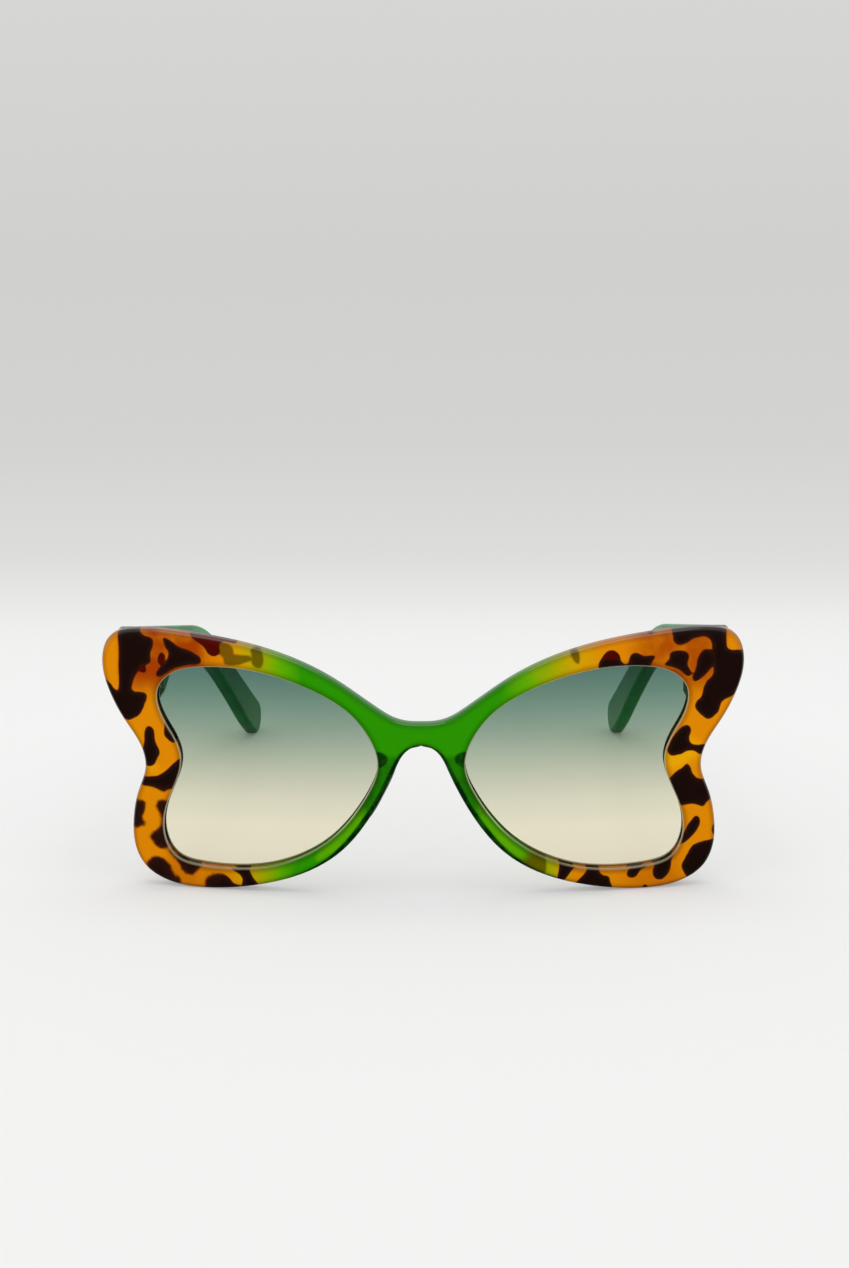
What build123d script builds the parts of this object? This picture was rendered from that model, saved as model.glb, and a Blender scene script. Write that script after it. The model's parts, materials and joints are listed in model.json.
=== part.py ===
from build123d import *
import os
from math import cos, radians, sin, sqrt, tan

# Butterfly sunglasses: a curved moulded front with two lenses, and two temples that fold on barrel hinges.
#
# The frame: -Y is the way the wearer looks, +Z is up and +X is the wearer's left; left and right in the names
# are the wearer's. The glasses stand as on a table, on the two lower lobes of the front and on the two temple
# tips. The origin is on the table, at the middle of the footprint. All lengths are millimetres.
# While the pieces are made, y is measured back from the foremost point of the front.

# Lens openings, as an optician boxes them
lens_width = 50.8
lens_height = 48.2
bridge_gap = 20.0

# Rims around the openings
temporal_rim = 13.2
upper_rim = 8.0
lower_rim = 5.4

# Form of the front: a shell of even thickness cut from a large ball
front_radius = 300.0
front_thickness = 4.2
rim_fillet = 1.1
opening_fillet = 0.4

# Lens and the groove that holds it
lens_thickness = 2.0
lens_recess = 1.1
groove_depth = 0.8
groove_clearance = 0.05
lens_bevel = 0.5

# End piece behind each top corner of the front, where the temple butts
end_piece_depth = 2.4
end_piece_width = 10.2
end_piece_fillet = 1.2
end_piece_root = 0.3
butt_gap = 0.2

# Temple, seen from the side: a broad blade behind the hinge, a slim arm, and a flat tip past the ear bend
temple_top_inset = 1.0
butt_width = 16.6
blade_width = 18.0
arm_width = 8.2
tip_width = 10.4
temple_slope = 11.6
straight_run = 55.5
ear_bend_radius = 85.0
ear_bend_angle = 20.0

# Temple, seen from above
temple_inset = 2.9
temple_thickness = 4.4
tip_thickness = 3.6
toe_in_angle = 5.1
temple_bow_radius = 5000.0
temple_fillet = 1.1

# Nose pads, cemented behind the nasal rims
pad_length = 17.0
pad_base_width = 3.2
pad_crest_length = 13.0
pad_crest_width = 2.0
pad_height = 5.8
pad_flare = 0.1
pad_lean = 27.0
pad_fillet = 0.7
pad_from_centre = 10.1
pad_middle_height = 24.5
glue_gap = 0.05

# Barrel hinge
knuckle_radius = 1.35
knuckle_height = 1.6
knuckle_gap = 0.1
knuckle_count = 5
barrel_standoff = 1.9
barrel_setback = 2.2
neck_width = 1.6
leaf_thickness = 0.9
leaf_clearance = 0.05
leaf_corner = 0.5
front_leaf_width = 3.8
temple_leaf_length = 11.0
temple_leaf_setback = 0.6

# Hinge screw
screw_radius = 0.7
screw_running_clearance = 0.06
screw_seat_clearance = 0.02
screw_head_radius = 1.2
screw_head_height = 0.7
slot_width = 0.35
slot_depth = 0.3

# Small countersunk screws that hold the leaves
fixing_radius = 0.45
fixing_head_radius = 0.85
fixing_head_height = 0.4
fixing_slot_depth = 0.2
fixing_length = 3.0
fixing_spacing = 4.8
fixing_edge = 1.05
fixing_clearance = 0.02

# How far a cutter runs past what it cuts
overrun = 2.0

# Half outline of the front, from the top of the bridge out along the brow, round the wing corner, in at the
# waist, round the lower lobe and up the nose side to the arch: shares of the half width and of the height.
OUTLINE_SHARES = [
    (0.000, 0.675), (0.045, 0.675), (0.092, 0.685), (0.130, 0.714), (0.185, 0.764), (0.264, 0.828),
    (0.399, 0.907), (0.568, 0.964), (0.743, 0.994), (0.890, 1.000), (0.973, 0.968), (1.000, 0.885),
    (0.981, 0.765), (0.932, 0.652), (0.881, 0.552), (0.870, 0.476), (0.896, 0.380), (0.918, 0.262),
    (0.917, 0.160), (0.889, 0.080), (0.817, 0.021), (0.709, 0.000), (0.600, 0.007), (0.493, 0.030),
    (0.358, 0.086), (0.253, 0.170), (0.174, 0.283), (0.122, 0.388), (0.080, 0.495), (0.048, 0.561),
    (0.000, 0.586),
]

# One lens opening, round from its nasal point by way of the brow: shares of the lens width from the nasal side
# and of the lens height from the bottom.
OPENING_SHARES = [
    (0.000, 0.545), (0.047, 0.693), (0.134, 0.801), (0.244, 0.876), (0.418, 0.951), (0.626, 0.997),
    (0.795, 0.998), (0.921, 0.967), (0.996, 0.886), (0.983, 0.762), (0.922, 0.643), (0.898, 0.550),
    (0.931, 0.417), (0.980, 0.288), (0.990, 0.160), (0.939, 0.048), (0.819, 0.007), (0.656, 0.000),
    (0.497, 0.021), (0.348, 0.079), (0.224, 0.164), (0.124, 0.276), (0.047, 0.400),
]

# The temple's width: shares of the upper edge's length, of the blade's extra width and of the tip's extra width
WIDTH_SHARES = [
    (0.050, 0.920, 0.000), (0.120, 1.000, 0.000), (0.178, 0.970, 0.000), (0.208, 0.700, 0.000),
    (0.238, 0.320, 0.000), (0.268, 0.120, 0.000), (0.310, 0.040, 0.000), (0.440, 0.020, 0.000),
    (0.600, 0.000, 0.000), (0.740, 0.000, 0.150), (0.850, 0.000, 0.600), (0.940, 0.000, 1.000),
]

# Sizes that follow from those above
half_width = bridge_gap / 2 + lens_width + temporal_rim
front_height = lower_rim + lens_height + upper_rim
ball_centre_z = front_height / 2
temple_outer_x = half_width - temple_inset
temple_inner_x = temple_outer_x - temple_thickness
temple_top_z = front_height - temple_top_inset
temple_bottom_z = temple_top_z - butt_width
pivot_x = temple_inner_x - barrel_standoff
knuckle_pitch = knuckle_height + knuckle_gap
hinge_height = knuckle_count * knuckle_pitch - knuckle_gap
hinge_middle_z = (temple_top_z + temple_bottom_z) / 2
hinge_bottom_z = hinge_middle_z - hinge_height / 2
hinge_top_z = hinge_middle_z + hinge_height / 2


def depth_of_ball(x, z, radius):
    """How far back the front's ball of this radius lies at a place in the front view."""
    return front_radius - sqrt(radius**2 - x**2 - (z - ball_centre_z)**2)


butt_y = depth_of_ball(temple_outer_x, temple_top_z, front_radius - front_thickness) + end_piece_depth
temple_start_y = butt_y + butt_gap
pivot_y = butt_y + barrel_setback

# The temple's upper edge: a straight run, the ear bend, and a straight tip whose round end touches the table
slope = radians(temple_slope)
tip_slope = radians(temple_slope + ear_bend_angle)
bend_start = (temple_start_y + straight_run * cos(slope), temple_top_z - straight_run * sin(slope))
bend_length = ear_bend_radius * (tip_slope - slope)
bend_end = (bend_start[0] + ear_bend_radius * (sin(tip_slope) - sin(slope)),
            bend_start[1] - ear_bend_radius * (cos(slope) - cos(tip_slope)))
tip_radius = tip_width / 2
tip_run = (bend_end[1] - tip_radius * (1 + cos(tip_slope))) / sin(tip_slope)
upper_edge_length = straight_run + bend_length + tip_run
tip_centre = (bend_end[0] + tip_run * cos(tip_slope) - tip_radius * sin(tip_slope), tip_radius)
overall_depth = tip_centre[0] + tip_radius


def box_between(x0, x1, y0, y1, z0, z1):
    """A box from its six faces."""
    return Pos((x0 + x1) / 2, (y0 + y1) / 2, (z0 + z1) / 2) * Box(x1 - x0, y1 - y0, z1 - z0)


def front_bar(face):
    """A face drawn in the front view, as a bar that runs back through the whole front."""
    return extrude(Plane.XZ.offset(overrun) * face, amount=-(2 * overrun + butt_y))


def ball(radius):
    """A ball about the centre of the front's curve."""
    return Pos(0, front_radius, ball_centre_z) * Sphere(radius)


def between(bar, near, far):
    """The part of a bar between two depths under the front's face."""
    return bar & ball(front_radius - near) - ball(front_radius - far)


def outline_face():
    """The whole front as seen from ahead."""
    left = [(a * half_width, b * front_height) for a, b in OUTLINE_SHARES]
    right = [(-x, z) for x, z in reversed(left[1:-1])]
    return make_face(Spline(*left, *right, periodic=True))


def opening_face(margin=0.0):
    """The left lens opening, made larger all round by a margin."""
    width = lens_width + 2 * margin
    height = lens_height + 2 * margin
    inner = bridge_gap / 2 - margin
    bottom = lower_rim - margin
    points = [(inner + a * width, bottom + b * height) for a, b in OPENING_SHARES]
    return make_face(Spline(*points, periodic=True))


def long_edges(solid):
    """The edges that run round a rim or a lens."""
    return [edge for edge in solid.edges() if edge.length > 2 * lens_height]


def bevelled_lens(margin, clearance=0.0):
    """The left lens, or with a clearance the groove that holds it, with a bevelled edge."""
    lens = between(front_bar(opening_face(margin + clearance)), lens_recess - clearance,
                   lens_recess + lens_thickness + clearance)
    return chamfer(long_edges(lens), lens_bevel)


def left_end_piece():
    """The block behind the front's top corner, which ends in the flat that the temple butts on."""
    inner_x = temple_outer_x - end_piece_width
    root_y = depth_of_ball(inner_x, temple_bottom_z, front_radius - front_thickness) - end_piece_root
    block = box_between(inner_x, temple_outer_x, root_y, butt_y, temple_bottom_z, temple_top_z)
    return fillet(block.edges().filter_by(Axis.Y), end_piece_fillet)


def front_leaf_plate(clearance=0.0):
    """The flat of the front leaf, let into the end piece, or with a clearance the pocket for it."""
    outer_x = pivot_x + neck_width / 2
    mouth = overrun if clearance else 0.0
    plate = box_between(outer_x - front_leaf_width - clearance, outer_x + clearance,
                        butt_y - leaf_thickness - clearance, butt_y + mouth,
                        hinge_bottom_z - clearance, hinge_top_z + clearance)
    return fillet(plate.edges().filter_by(Axis.Y), leaf_corner)


def temple_leaf_plate(clearance=0.0):
    """The flat of the temple leaf, let into the temple's inner face, or the pocket for it."""
    front_y = temple_start_y + temple_leaf_setback
    mouth = overrun if clearance else 0.0
    plate = box_between(temple_inner_x - mouth, temple_inner_x + leaf_thickness + clearance,
                        front_y - clearance, front_y + temple_leaf_length + clearance,
                        hinge_bottom_z - clearance, hinge_top_z + clearance)
    return fillet(plate.edges().filter_by(Axis.X), leaf_corner)


def knuckle_bottom(number):
    """The lower face of one barrel, counted up from the bottom of the hinge."""
    return hinge_bottom_z + number * knuckle_pitch


def knuckle(number):
    """One barrel of the left hinge."""
    return Pos(pivot_x, pivot_y, knuckle_bottom(number) + knuckle_height / 2) * Cylinder(knuckle_radius,
                                                                                        knuckle_height)


def screw_bore(clearance):
    """The hole that the hinge screw passes through, from under the hinge to over it."""
    return Pos(pivot_x, pivot_y, hinge_middle_z) * Cylinder(screw_radius + clearance,
                                                            hinge_height + 2 * overrun)


def fixing(clearance=0.0):
    """A small countersunk screw that points down, with the face of its head at the origin."""
    length = fixing_length + clearance
    shank = Pos(0, 0, -length / 2) * Cylinder(fixing_radius + clearance, length)
    head = Pos(0, 0, -fixing_head_height / 2) * Cone(fixing_radius + clearance, fixing_head_radius + clearance,
                                                     fixing_head_height)
    return shank + head


def fixing_screw():
    """The countersunk screw with its slot."""
    reach = fixing_head_radius + overrun
    return fixing() - box_between(-reach, reach, -slot_width / 2, slot_width / 2, -fixing_slot_depth, overrun)


def fixing_hole():
    """The hole for a countersunk screw, open at its face."""
    mouth = Pos(0, 0, overrun / 2) * Cylinder(fixing_head_radius + fixing_clearance, overrun)
    return fixing(fixing_clearance) + mouth


def front_fixing_places():
    """Where the two screws of the front leaf lie, each pointing forward into the end piece."""
    x = pivot_x + neck_width / 2 - front_leaf_width + fixing_edge
    return [Pos(x, butt_y, hinge_middle_z + side * fixing_spacing / 2) * Rot(-90, 0, 0) for side in (-1, 1)]


def temple_fixing_places():
    """Where the two screws of the temple leaf lie, each pointing outwards into the temple."""
    back_y = temple_start_y + temple_leaf_setback + temple_leaf_length - fixing_edge
    return [Pos(temple_inner_x, back_y - row * fixing_spacing, hinge_middle_z) * Rot(0, -90, 0)
            for row in (0, 1)]


def drill(solid, places):
    """A solid with a countersunk hole at each place."""
    for place in places:
        solid -= place * fixing_hole()
    return solid


def front_half():
    """The left half of the moulded front, with its lens groove, end piece and hinge pocket."""
    whole = between(front_bar(outline_face()), 0, front_thickness)
    half = whole & box_between(0, half_width + overrun, -overrun, overrun + butt_y, -overrun,
                               front_height + overrun)
    half = fillet([edge for edge in half.edges() if edge.length > lens_height], rim_fillet)
    half -= front_bar(opening_face())
    openings = [edge for edge in long_edges(half) if edge.bounding_box().min.Z > lower_rim / 2]
    half = fillet(openings, opening_fillet)
    half -= bevelled_lens(groove_depth, groove_clearance)
    half += left_end_piece()
    return drill(half - front_leaf_plate(leaf_clearance), front_fixing_places())


def front_frame():
    """The moulded front: rims, bridge and end pieces in one."""
    half = front_half()
    return half + mirror(half, about=Plane.YZ)


def left_nose_pad():
    """A pad that stands back from the nasal rim, narrower and turned outwards towards its crest."""
    lean = radians(pad_lean)
    along, across = (sin(lean), 0, -cos(lean)), (cos(lean), 0, sin(lean))
    foot = Plane((pad_from_centre, front_thickness, pad_middle_height), x_dir=along, z_dir=(0, 1, 0))
    crest = Plane((pad_from_centre + pad_flare * across[0], front_thickness + pad_height,
                   pad_middle_height + pad_flare * across[2]), x_dir=along, z_dir=(0, 1, 0))
    pad = loft([foot * SlotOverall(pad_length, pad_base_width), crest * SlotOverall(pad_crest_length,
                                                                                   pad_crest_width)])
    pad = fillet(pad.edges().group_by(Axis.Y)[-1], pad_fillet)
    return pad & ball(front_radius - front_thickness - glue_gap)


def below_upper_edge(length, width):
    """The point square below the temple's upper edge, by a width, at a length along it."""
    turned = min(max(length - straight_run, 0.0), bend_length) / ear_bend_radius
    straight = min(length, straight_run)
    last = max(length - straight_run - bend_length, 0.0)
    y = (temple_start_y + straight * cos(slope) + ear_bend_radius * (sin(slope + turned) - sin(slope))
         + last * cos(tip_slope))
    z = (temple_top_z - straight * sin(slope) - ear_bend_radius * (cos(slope) - cos(slope + turned))
         - last * sin(tip_slope))
    return y - width * sin(slope + turned), z - width * cos(slope + turned)


def temple_side_face():
    """The temple as seen from the side: the blade, the arm and a tip with a round end."""
    start = (temple_start_y, temple_top_z)
    bend_middle = below_upper_edge(straight_run + bend_length / 2, 0)
    lower = [below_upper_edge(along * upper_edge_length,
                              arm_width + blade * (blade_width - arm_width) + tip * (tip_width - arm_width))
             for along, blade, tip in WIDTH_SHARES]
    upper_end = below_upper_edge(upper_edge_length, 0)
    lower_end = below_upper_edge(upper_edge_length, tip_width)
    tip = (tip_centre[0] + tip_radius * cos(tip_slope), tip_centre[1] - tip_radius * sin(tip_slope))
    bottom = (temple_start_y, temple_bottom_z)
    return make_face([
        Line(start, bend_start), ThreePointArc(bend_start, bend_middle, bend_end), Line(bend_end, upper_end),
        ThreePointArc(upper_end, tip, lower_end), Spline(lower_end, *reversed(lower), bottom),
        Line(bottom, start),
    ])


def temple_plan_face():
    """The temple as seen from above: it turns in a little from the butt and bows inwards."""
    reach = overall_depth + overrun - temple_start_y

    def side(share, thickness):
        run = share * reach
        return (temple_outer_x - run * tan(radians(toe_in_angle)) - run**2 / (2 * temple_bow_radius)
                - thickness, temple_start_y + run)

    half_thickness = (temple_thickness + tip_thickness) / 2
    outer = ThreePointArc(side(0, 0), side(0.5, 0), side(1, 0))
    inner = ThreePointArc(side(0, temple_thickness), side(0.5, half_thickness), side(1, tip_thickness))
    return make_face([outer, Line(outer @ 1, inner @ 1), inner, Line(inner @ 0, outer @ 0)])


def left_temple():
    """The temple: its side view and its plan brought together, with rounded edges and the leaf's pocket."""
    broad = extrude(Plane.YZ * temple_side_face(), amount=half_width + overrun)
    slab = extrude(Plane.XY.offset(-overrun) * temple_plan_face(), amount=front_height + 2 * overrun)
    temple = broad & slab
    rounded = [edge for edge in temple.edges() if edge.center().Y > temple_start_y + temple_fillet]
    temple = fillet(rounded, temple_fillet)
    return drill(temple - temple_leaf_plate(leaf_clearance), temple_fixing_places())


def left_front_leaf():
    """The front leaf of the hinge: its plate, and every other barrel on a short neck."""
    leaf = front_leaf_plate()
    for number in range(0, knuckle_count, 2):
        bottom = knuckle_bottom(number)
        neck = box_between(pivot_x - neck_width / 2, pivot_x + neck_width / 2, butt_y, pivot_y, bottom,
                           bottom + knuckle_height)
        leaf += neck + knuckle(number)
    return drill(leaf - screw_bore(screw_seat_clearance), front_fixing_places())


def left_temple_leaf():
    """The temple leaf of the hinge: its plate, and the barrels between those of the front leaf."""
    leaf = temple_leaf_plate()
    for number in range(1, knuckle_count, 2):
        bottom = knuckle_bottom(number)
        neck = box_between(pivot_x, temple_inner_x + leaf_thickness / 2, temple_start_y + temple_leaf_setback,
                           pivot_y + knuckle_radius, bottom, bottom + knuckle_height)
        leaf += neck + knuckle(number)
    return drill(leaf - screw_bore(screw_running_clearance), temple_fixing_places())


def left_hinge_screw():
    """The screw that the temple turns on, head up."""
    shank = Pos(pivot_x, pivot_y, hinge_middle_z) * Cylinder(screw_radius, hinge_height)
    head = Pos(pivot_x, pivot_y, hinge_top_z + screw_head_height / 2) * Cylinder(screw_head_radius,
                                                                                screw_head_height)
    reach = screw_head_radius + overrun
    head_top = hinge_top_z + screw_head_height
    slot = box_between(pivot_x - reach, pivot_x + reach, pivot_y - slot_width / 2, pivot_y + slot_width / 2,
                       head_top - slot_depth, head_top + overrun)
    return shank + head - slot


def main():
    """Make every piece, move the origin to the middle of the footprint, and write one file for each."""
    pairs = {
        "lens": bevelled_lens(groove_depth),
        "nose_pad": left_nose_pad(),
        "temple": left_temple(),
        "front_leaf": left_front_leaf(),
        "temple_leaf": left_temple_leaf(),
        "hinge_screw": left_hinge_screw(),
        "front_leaf_screws": Compound([place * fixing_screw() for place in front_fixing_places()]),
        "temple_leaf_screws": Compound([place * fixing_screw() for place in temple_fixing_places()]),
    }
    pieces = {"front_frame": front_frame()}
    for name, piece in pairs.items():
        pieces["left_" + name] = piece
        pieces["right_" + name] = mirror(piece, about=Plane.YZ)
    os.makedirs("parts", exist_ok=True)
    for name, piece in pieces.items():
        export_step(Pos(0, -overall_depth / 2, 0) * piece, f"parts/{name}.step")
    print("pivot", round(pivot_x, 3), round(pivot_y - overall_depth / 2, 3), "middle of hinge",
          round(hinge_middle_z, 3), "overall depth", round(overall_depth, 3))


if __name__ == "__main__":
    main()
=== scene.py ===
"""Butterfly sunglasses: the looks of the moulded front, lenses, nose pads, temples and hinges.

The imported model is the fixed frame: -Y is the way the wearer looks, +Z is up and +X is the wearer's left.
Sizes are millimetres, and y is measured back from the foremost point of the front until a mesh is made.
"""

import json
import logging
import math
from dataclasses import dataclass
from enum import Enum

import bmesh
import bpy
import numpy as np
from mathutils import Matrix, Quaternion, Vector

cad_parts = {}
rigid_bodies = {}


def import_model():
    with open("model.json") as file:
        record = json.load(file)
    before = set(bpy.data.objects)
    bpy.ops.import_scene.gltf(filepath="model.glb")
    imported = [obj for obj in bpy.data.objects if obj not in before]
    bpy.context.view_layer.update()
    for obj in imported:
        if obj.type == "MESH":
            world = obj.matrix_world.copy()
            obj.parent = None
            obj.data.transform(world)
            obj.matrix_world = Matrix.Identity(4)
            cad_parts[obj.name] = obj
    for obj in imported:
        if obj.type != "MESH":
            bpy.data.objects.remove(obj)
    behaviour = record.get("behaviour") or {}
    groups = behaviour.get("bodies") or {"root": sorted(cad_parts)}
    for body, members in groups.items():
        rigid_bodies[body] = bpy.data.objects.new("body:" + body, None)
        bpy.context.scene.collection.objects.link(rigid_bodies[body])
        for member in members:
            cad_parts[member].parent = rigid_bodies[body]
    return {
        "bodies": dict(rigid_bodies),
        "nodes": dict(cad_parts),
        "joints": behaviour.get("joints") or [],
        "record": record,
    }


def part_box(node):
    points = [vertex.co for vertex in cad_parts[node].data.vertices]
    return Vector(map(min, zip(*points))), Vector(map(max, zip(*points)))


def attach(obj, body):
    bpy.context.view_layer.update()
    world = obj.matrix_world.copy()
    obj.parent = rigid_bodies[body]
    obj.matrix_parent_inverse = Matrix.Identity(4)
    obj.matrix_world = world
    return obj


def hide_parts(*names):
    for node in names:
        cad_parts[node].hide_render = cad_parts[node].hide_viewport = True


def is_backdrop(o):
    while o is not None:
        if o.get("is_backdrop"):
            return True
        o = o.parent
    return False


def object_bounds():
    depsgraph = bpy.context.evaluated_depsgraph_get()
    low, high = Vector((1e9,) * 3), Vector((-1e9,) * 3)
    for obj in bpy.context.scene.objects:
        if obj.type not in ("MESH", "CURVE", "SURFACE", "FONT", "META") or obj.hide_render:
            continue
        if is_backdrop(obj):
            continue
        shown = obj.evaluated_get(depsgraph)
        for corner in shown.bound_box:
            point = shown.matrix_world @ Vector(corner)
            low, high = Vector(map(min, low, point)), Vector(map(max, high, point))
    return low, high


log = logging.getLogger("sunglasses")

MM = 0.001
# How far the foremost point of the front lies before the origin, in millimetres.
BACK_SHIFT = 74.18
# Vertices closer than this, in metres, are one.
MERGE_WITHIN = 2e-6
# How many pairs of a point and a piece of line are measured at once.
PAIRS_AT_ONCE = 4_000_000
# What keeps a division or a comparison safe.
TINY = 1e-9
# Between these values lies most of a noise, and this is how much duller than its gloss a polish gets.
NOISE_SPAN = (0.3, 0.7)
DULLEST = 1.8


class Side(Enum):
    """The wearer's side that a piece lies on, with the sign of its x."""

    LEFT = 1
    RIGHT = -1

    @property
    def label(self) -> str:
        """The side's name as the nodes and pieces spell it."""
        return self.name.lower()


class Fit(Enum):
    """How one solid is fitted to another."""

    FUSE = "UNION"
    CUT = "DIFFERENCE"


def from_screen(value: np.ndarray) -> np.ndarray:
    """Turn a screen's values of 0 to 255 into the linear ones of light.

    The share of 255 is divided by 12.92 up to 0.04045. Above that 0.055 is added, and the sum over 1.055 is
    raised to the power 2.4.

    Args:
        value: The screen's values.

    Returns:
        The linear values, from 0 to 1.
    """
    share = np.asarray(value) / 255
    low = share / 12.92
    high = ((share + 0.055) / 1.055) ** 2.4
    return np.where(share <= 0.04045, low, high)


def linear(red: int, green: int, blue: int) -> tuple:
    """A colour for a shader, with an alpha of 1, from the screen's values of 0 to 255."""
    return (*from_screen(np.array([red, green, blue])), 1.0)


def smooth_step(value: np.ndarray, low: float, high: float) -> np.ndarray:
    """Rise from 0 at low to 1 at high: 3 t squared less 2 t cubed."""
    t = np.clip((value - low) / (high - low), 0, 1)
    return t * t * (3 - 2 * t)


def fade(value: np.ndarray, low: float, high: float) -> np.ndarray:
    """Fall from 1 at low to 0 at high: one less the smooth step."""
    return 1 - smooth_step(value, low, high)


def band(value: np.ndarray, start: float, full: float, fading: float, end: float) -> np.ndarray:
    """Rise from 0 at start to 1 at full and fall from fading to 0 at end: a smooth step times a fade."""
    return smooth_step(value, start, full) * fade(value, fading, end)


def cubic_line(points: list, closed: bool, count: int) -> np.ndarray:
    """Sample the smooth line through points.

    Each span between two points is a cubic over the chord length. Second derivatives agree where spans
    meet; they are the solution of one linear system, cyclic for a closed line and with straight ends for an
    open one.

    Args:
        points: The points that the line passes through.
        closed: Whether the line returns to its first point.
        count: How many samples are taken, evenly along the chords.

    Returns:
        The samples, one row each. A closed line's first sample isn't repeated.
    """
    knots = np.asarray(points, float)
    if closed:
        knots = np.vstack([knots, knots[:1]])
    chords = np.linalg.norm(np.diff(knots, axis=0), axis=1)
    spans = len(chords)
    slopes = np.diff(knots, axis=0) / chords[:, None]
    system = np.zeros((spans + 1, spans + 1))
    target = np.zeros((spans + 1, 2))
    inner = np.arange(1, spans)
    system[inner, inner - 1] = chords[:-1]
    system[inner, inner] = 2 * (chords[:-1] + chords[1:])
    system[inner, inner + 1] = chords[1:]
    target[1:spans] = 6 * np.diff(slopes, axis=0)
    if closed:
        system[0, [0, 1, spans - 1]] = 2 * (chords[0] + chords[-1]), chords[0], chords[-1]
        target[0] = 6 * (slopes[0] - slopes[-1])
        system[spans, [0, spans]] = 1, -1
    else:
        system[0, 0] = system[spans, spans] = 1
    bend = np.linalg.solve(system, target)
    ends = np.concatenate([[0], np.cumsum(chords)])
    place = np.linspace(0, ends[-1], count, endpoint=not closed)
    span = np.clip(np.searchsorted(ends, place, side="right") - 1, 0, spans - 1)
    after = ((place - ends[span]) / chords[span])[:, None]
    before = 1 - after
    square = chords[span][:, None] ** 2 / 6
    return (before * knots[span] + after * knots[span + 1]
            + square * ((before**3 - before) * bend[span] + (after**3 - after) * bend[span + 1]))


def distance_to(line: np.ndarray, points: np.ndarray, closed: bool) -> np.ndarray:
    """Least distance from each point to a line of short straight pieces.

    For one piece it is the length from the point to the piece's nearest place, which is the point's
    projection held between the piece's ends. The points are taken in portions to save memory.

    Args:
        line: The line's points.
        points: Where the distance is wanted, in an array whose last axis holds the two coordinates.
        closed: Whether the line returns to its first point.

    Returns:
        The distances, in the shape of points without its last axis.
    """
    starts = line if closed else line[:-1]
    along = (np.roll(line, -1, axis=0) if closed else line[1:]) - starts
    squares = (along**2).sum(1)
    flat = points.reshape(-1, 2)
    portions = np.array_split(flat, 1 + flat.shape[0] * len(starts) // PAIRS_AT_ONCE)
    found = []
    for portion in portions:
        away = portion[:, None] - starts[None]
        share = np.clip((away * along).sum(2) / squares, 0, 1)
        found.append(np.sqrt(((away - share[..., None] * along) ** 2).sum(2).min(1)))
    return np.concatenate(found).reshape(points.shape[:-1])


def sunk_by_round(distance: np.ndarray, radius: float) -> np.ndarray:
    """How far a round sinks a face near its edge: r less the root of r squared less (r less d) squared."""
    inside = np.clip(radius - distance, 0, radius)
    return radius - np.sqrt(radius**2 - inside**2)


def round_steps(radius: float, count: int) -> np.ndarray:
    """Distances from an edge at which its round is sampled: r times one less the cosine, from 0 to r."""
    return radius * (1 - np.cos(np.linspace(0, math.pi / 2, count)))


def grid_faces(columns: int, rows: int, columns_close: bool, rows_close: bool) -> np.ndarray:
    """The quads of a grid whose vertices are numbered column by column.

    Args:
        columns, rows: The grid's counts of vertices.
        columns_close: Whether the last column meets the first.
        rows_close: Whether the last row meets the first.

    Returns:
        Columns by rows by four vertex numbers, with one column or row less where they don't close.
    """
    column = np.arange(columns if columns_close else columns - 1)[:, None]
    row = np.arange(rows if rows_close else rows - 1)[None]
    next_column = (column + 1) % columns
    next_row = (row + 1) % rows
    return np.stack([column * rows + row, next_column * rows + row,
                     next_column * rows + next_row, column * rows + next_row], axis=-1)


def solid(name: str, vertices: np.ndarray, faces: list) -> bpy.types.Object:
    """Make a closed piece at the origin from points in millimetres, with doubles merged and faces outwards.

    Args:
        name: The object's name.
        vertices: Points in millimetres in the row frame.
        faces: Lists of vertex numbers.

    Returns:
        The new object.
    """
    mesh = bpy.data.meshes.new(name)
    mesh.from_pydata((vertices.reshape(-1, 3) * MM).tolist(), [], faces)
    shape = bmesh.new()
    shape.from_mesh(mesh)
    bmesh.ops.remove_doubles(shape, verts=shape.verts, dist=MERGE_WITHIN)
    loose = [vertex for vertex in shape.verts if not vertex.link_faces]
    bmesh.ops.delete(shape, geom=loose, context="VERTS")
    bmesh.ops.recalc_face_normals(shape, faces=shape.faces)
    shape.to_mesh(mesh)
    shape.free()
    piece = bpy.data.objects.new(name, mesh)
    bpy.context.scene.collection.objects.link(piece)
    return piece


def fitted(piece: bpy.types.Object, tool: bpy.types.Object, how: Fit) -> None:
    """Fuse a tool solid to a piece, or cut it out of the piece, and take the tool away.

    Args:
        piece: The object that is changed.
        tool: The object that is used up.
        how: Whether the tool is fused or cut.
    """
    modifier = piece.modifiers.new(how.name, "BOOLEAN")
    modifier.operation = how.value
    modifier.solver = "EXACT"
    modifier.object = tool
    graph = bpy.context.evaluated_depsgraph_get()
    old = piece.data
    piece.data = bpy.data.meshes.new_from_object(piece.evaluated_get(graph))
    piece.modifiers.clear()
    bpy.data.meshes.remove(old)
    bpy.data.objects.remove(tool)


def finished(piece: bpy.types.Object, crease: float = 38.0) -> None:
    """Shade a piece smoothly, apart from edges that turn by more than the crease angle in degrees."""
    piece.data.shade_smooth()
    piece.data.set_sharp_from_angle(angle=math.radians(crease))


def places(piece: bpy.types.Object) -> np.ndarray:
    """Read where a piece's vertices lie.

    Args:
        piece: The object.

    Returns:
        The places in millimetres, one row each.
    """
    flat = np.empty(len(piece.data.vertices) * 3)
    piece.data.vertices.foreach_get("co", flat)
    return flat.reshape(-1, 3) / MM


def written(piece: bpy.types.Object, name: str, values: np.ndarray) -> None:
    """Keep one number for each vertex under a name that the materials read."""
    layer = piece.data.attributes.new(name, "FLOAT", "POINT")
    layer.data.foreach_set("value", values.astype(np.float32))


def coated(piece: bpy.types.Object, finish: bpy.types.Material) -> None:
    """Give a piece its finish and no other."""
    piece.data.materials.clear()
    piece.data.materials.append(finish)


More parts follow.
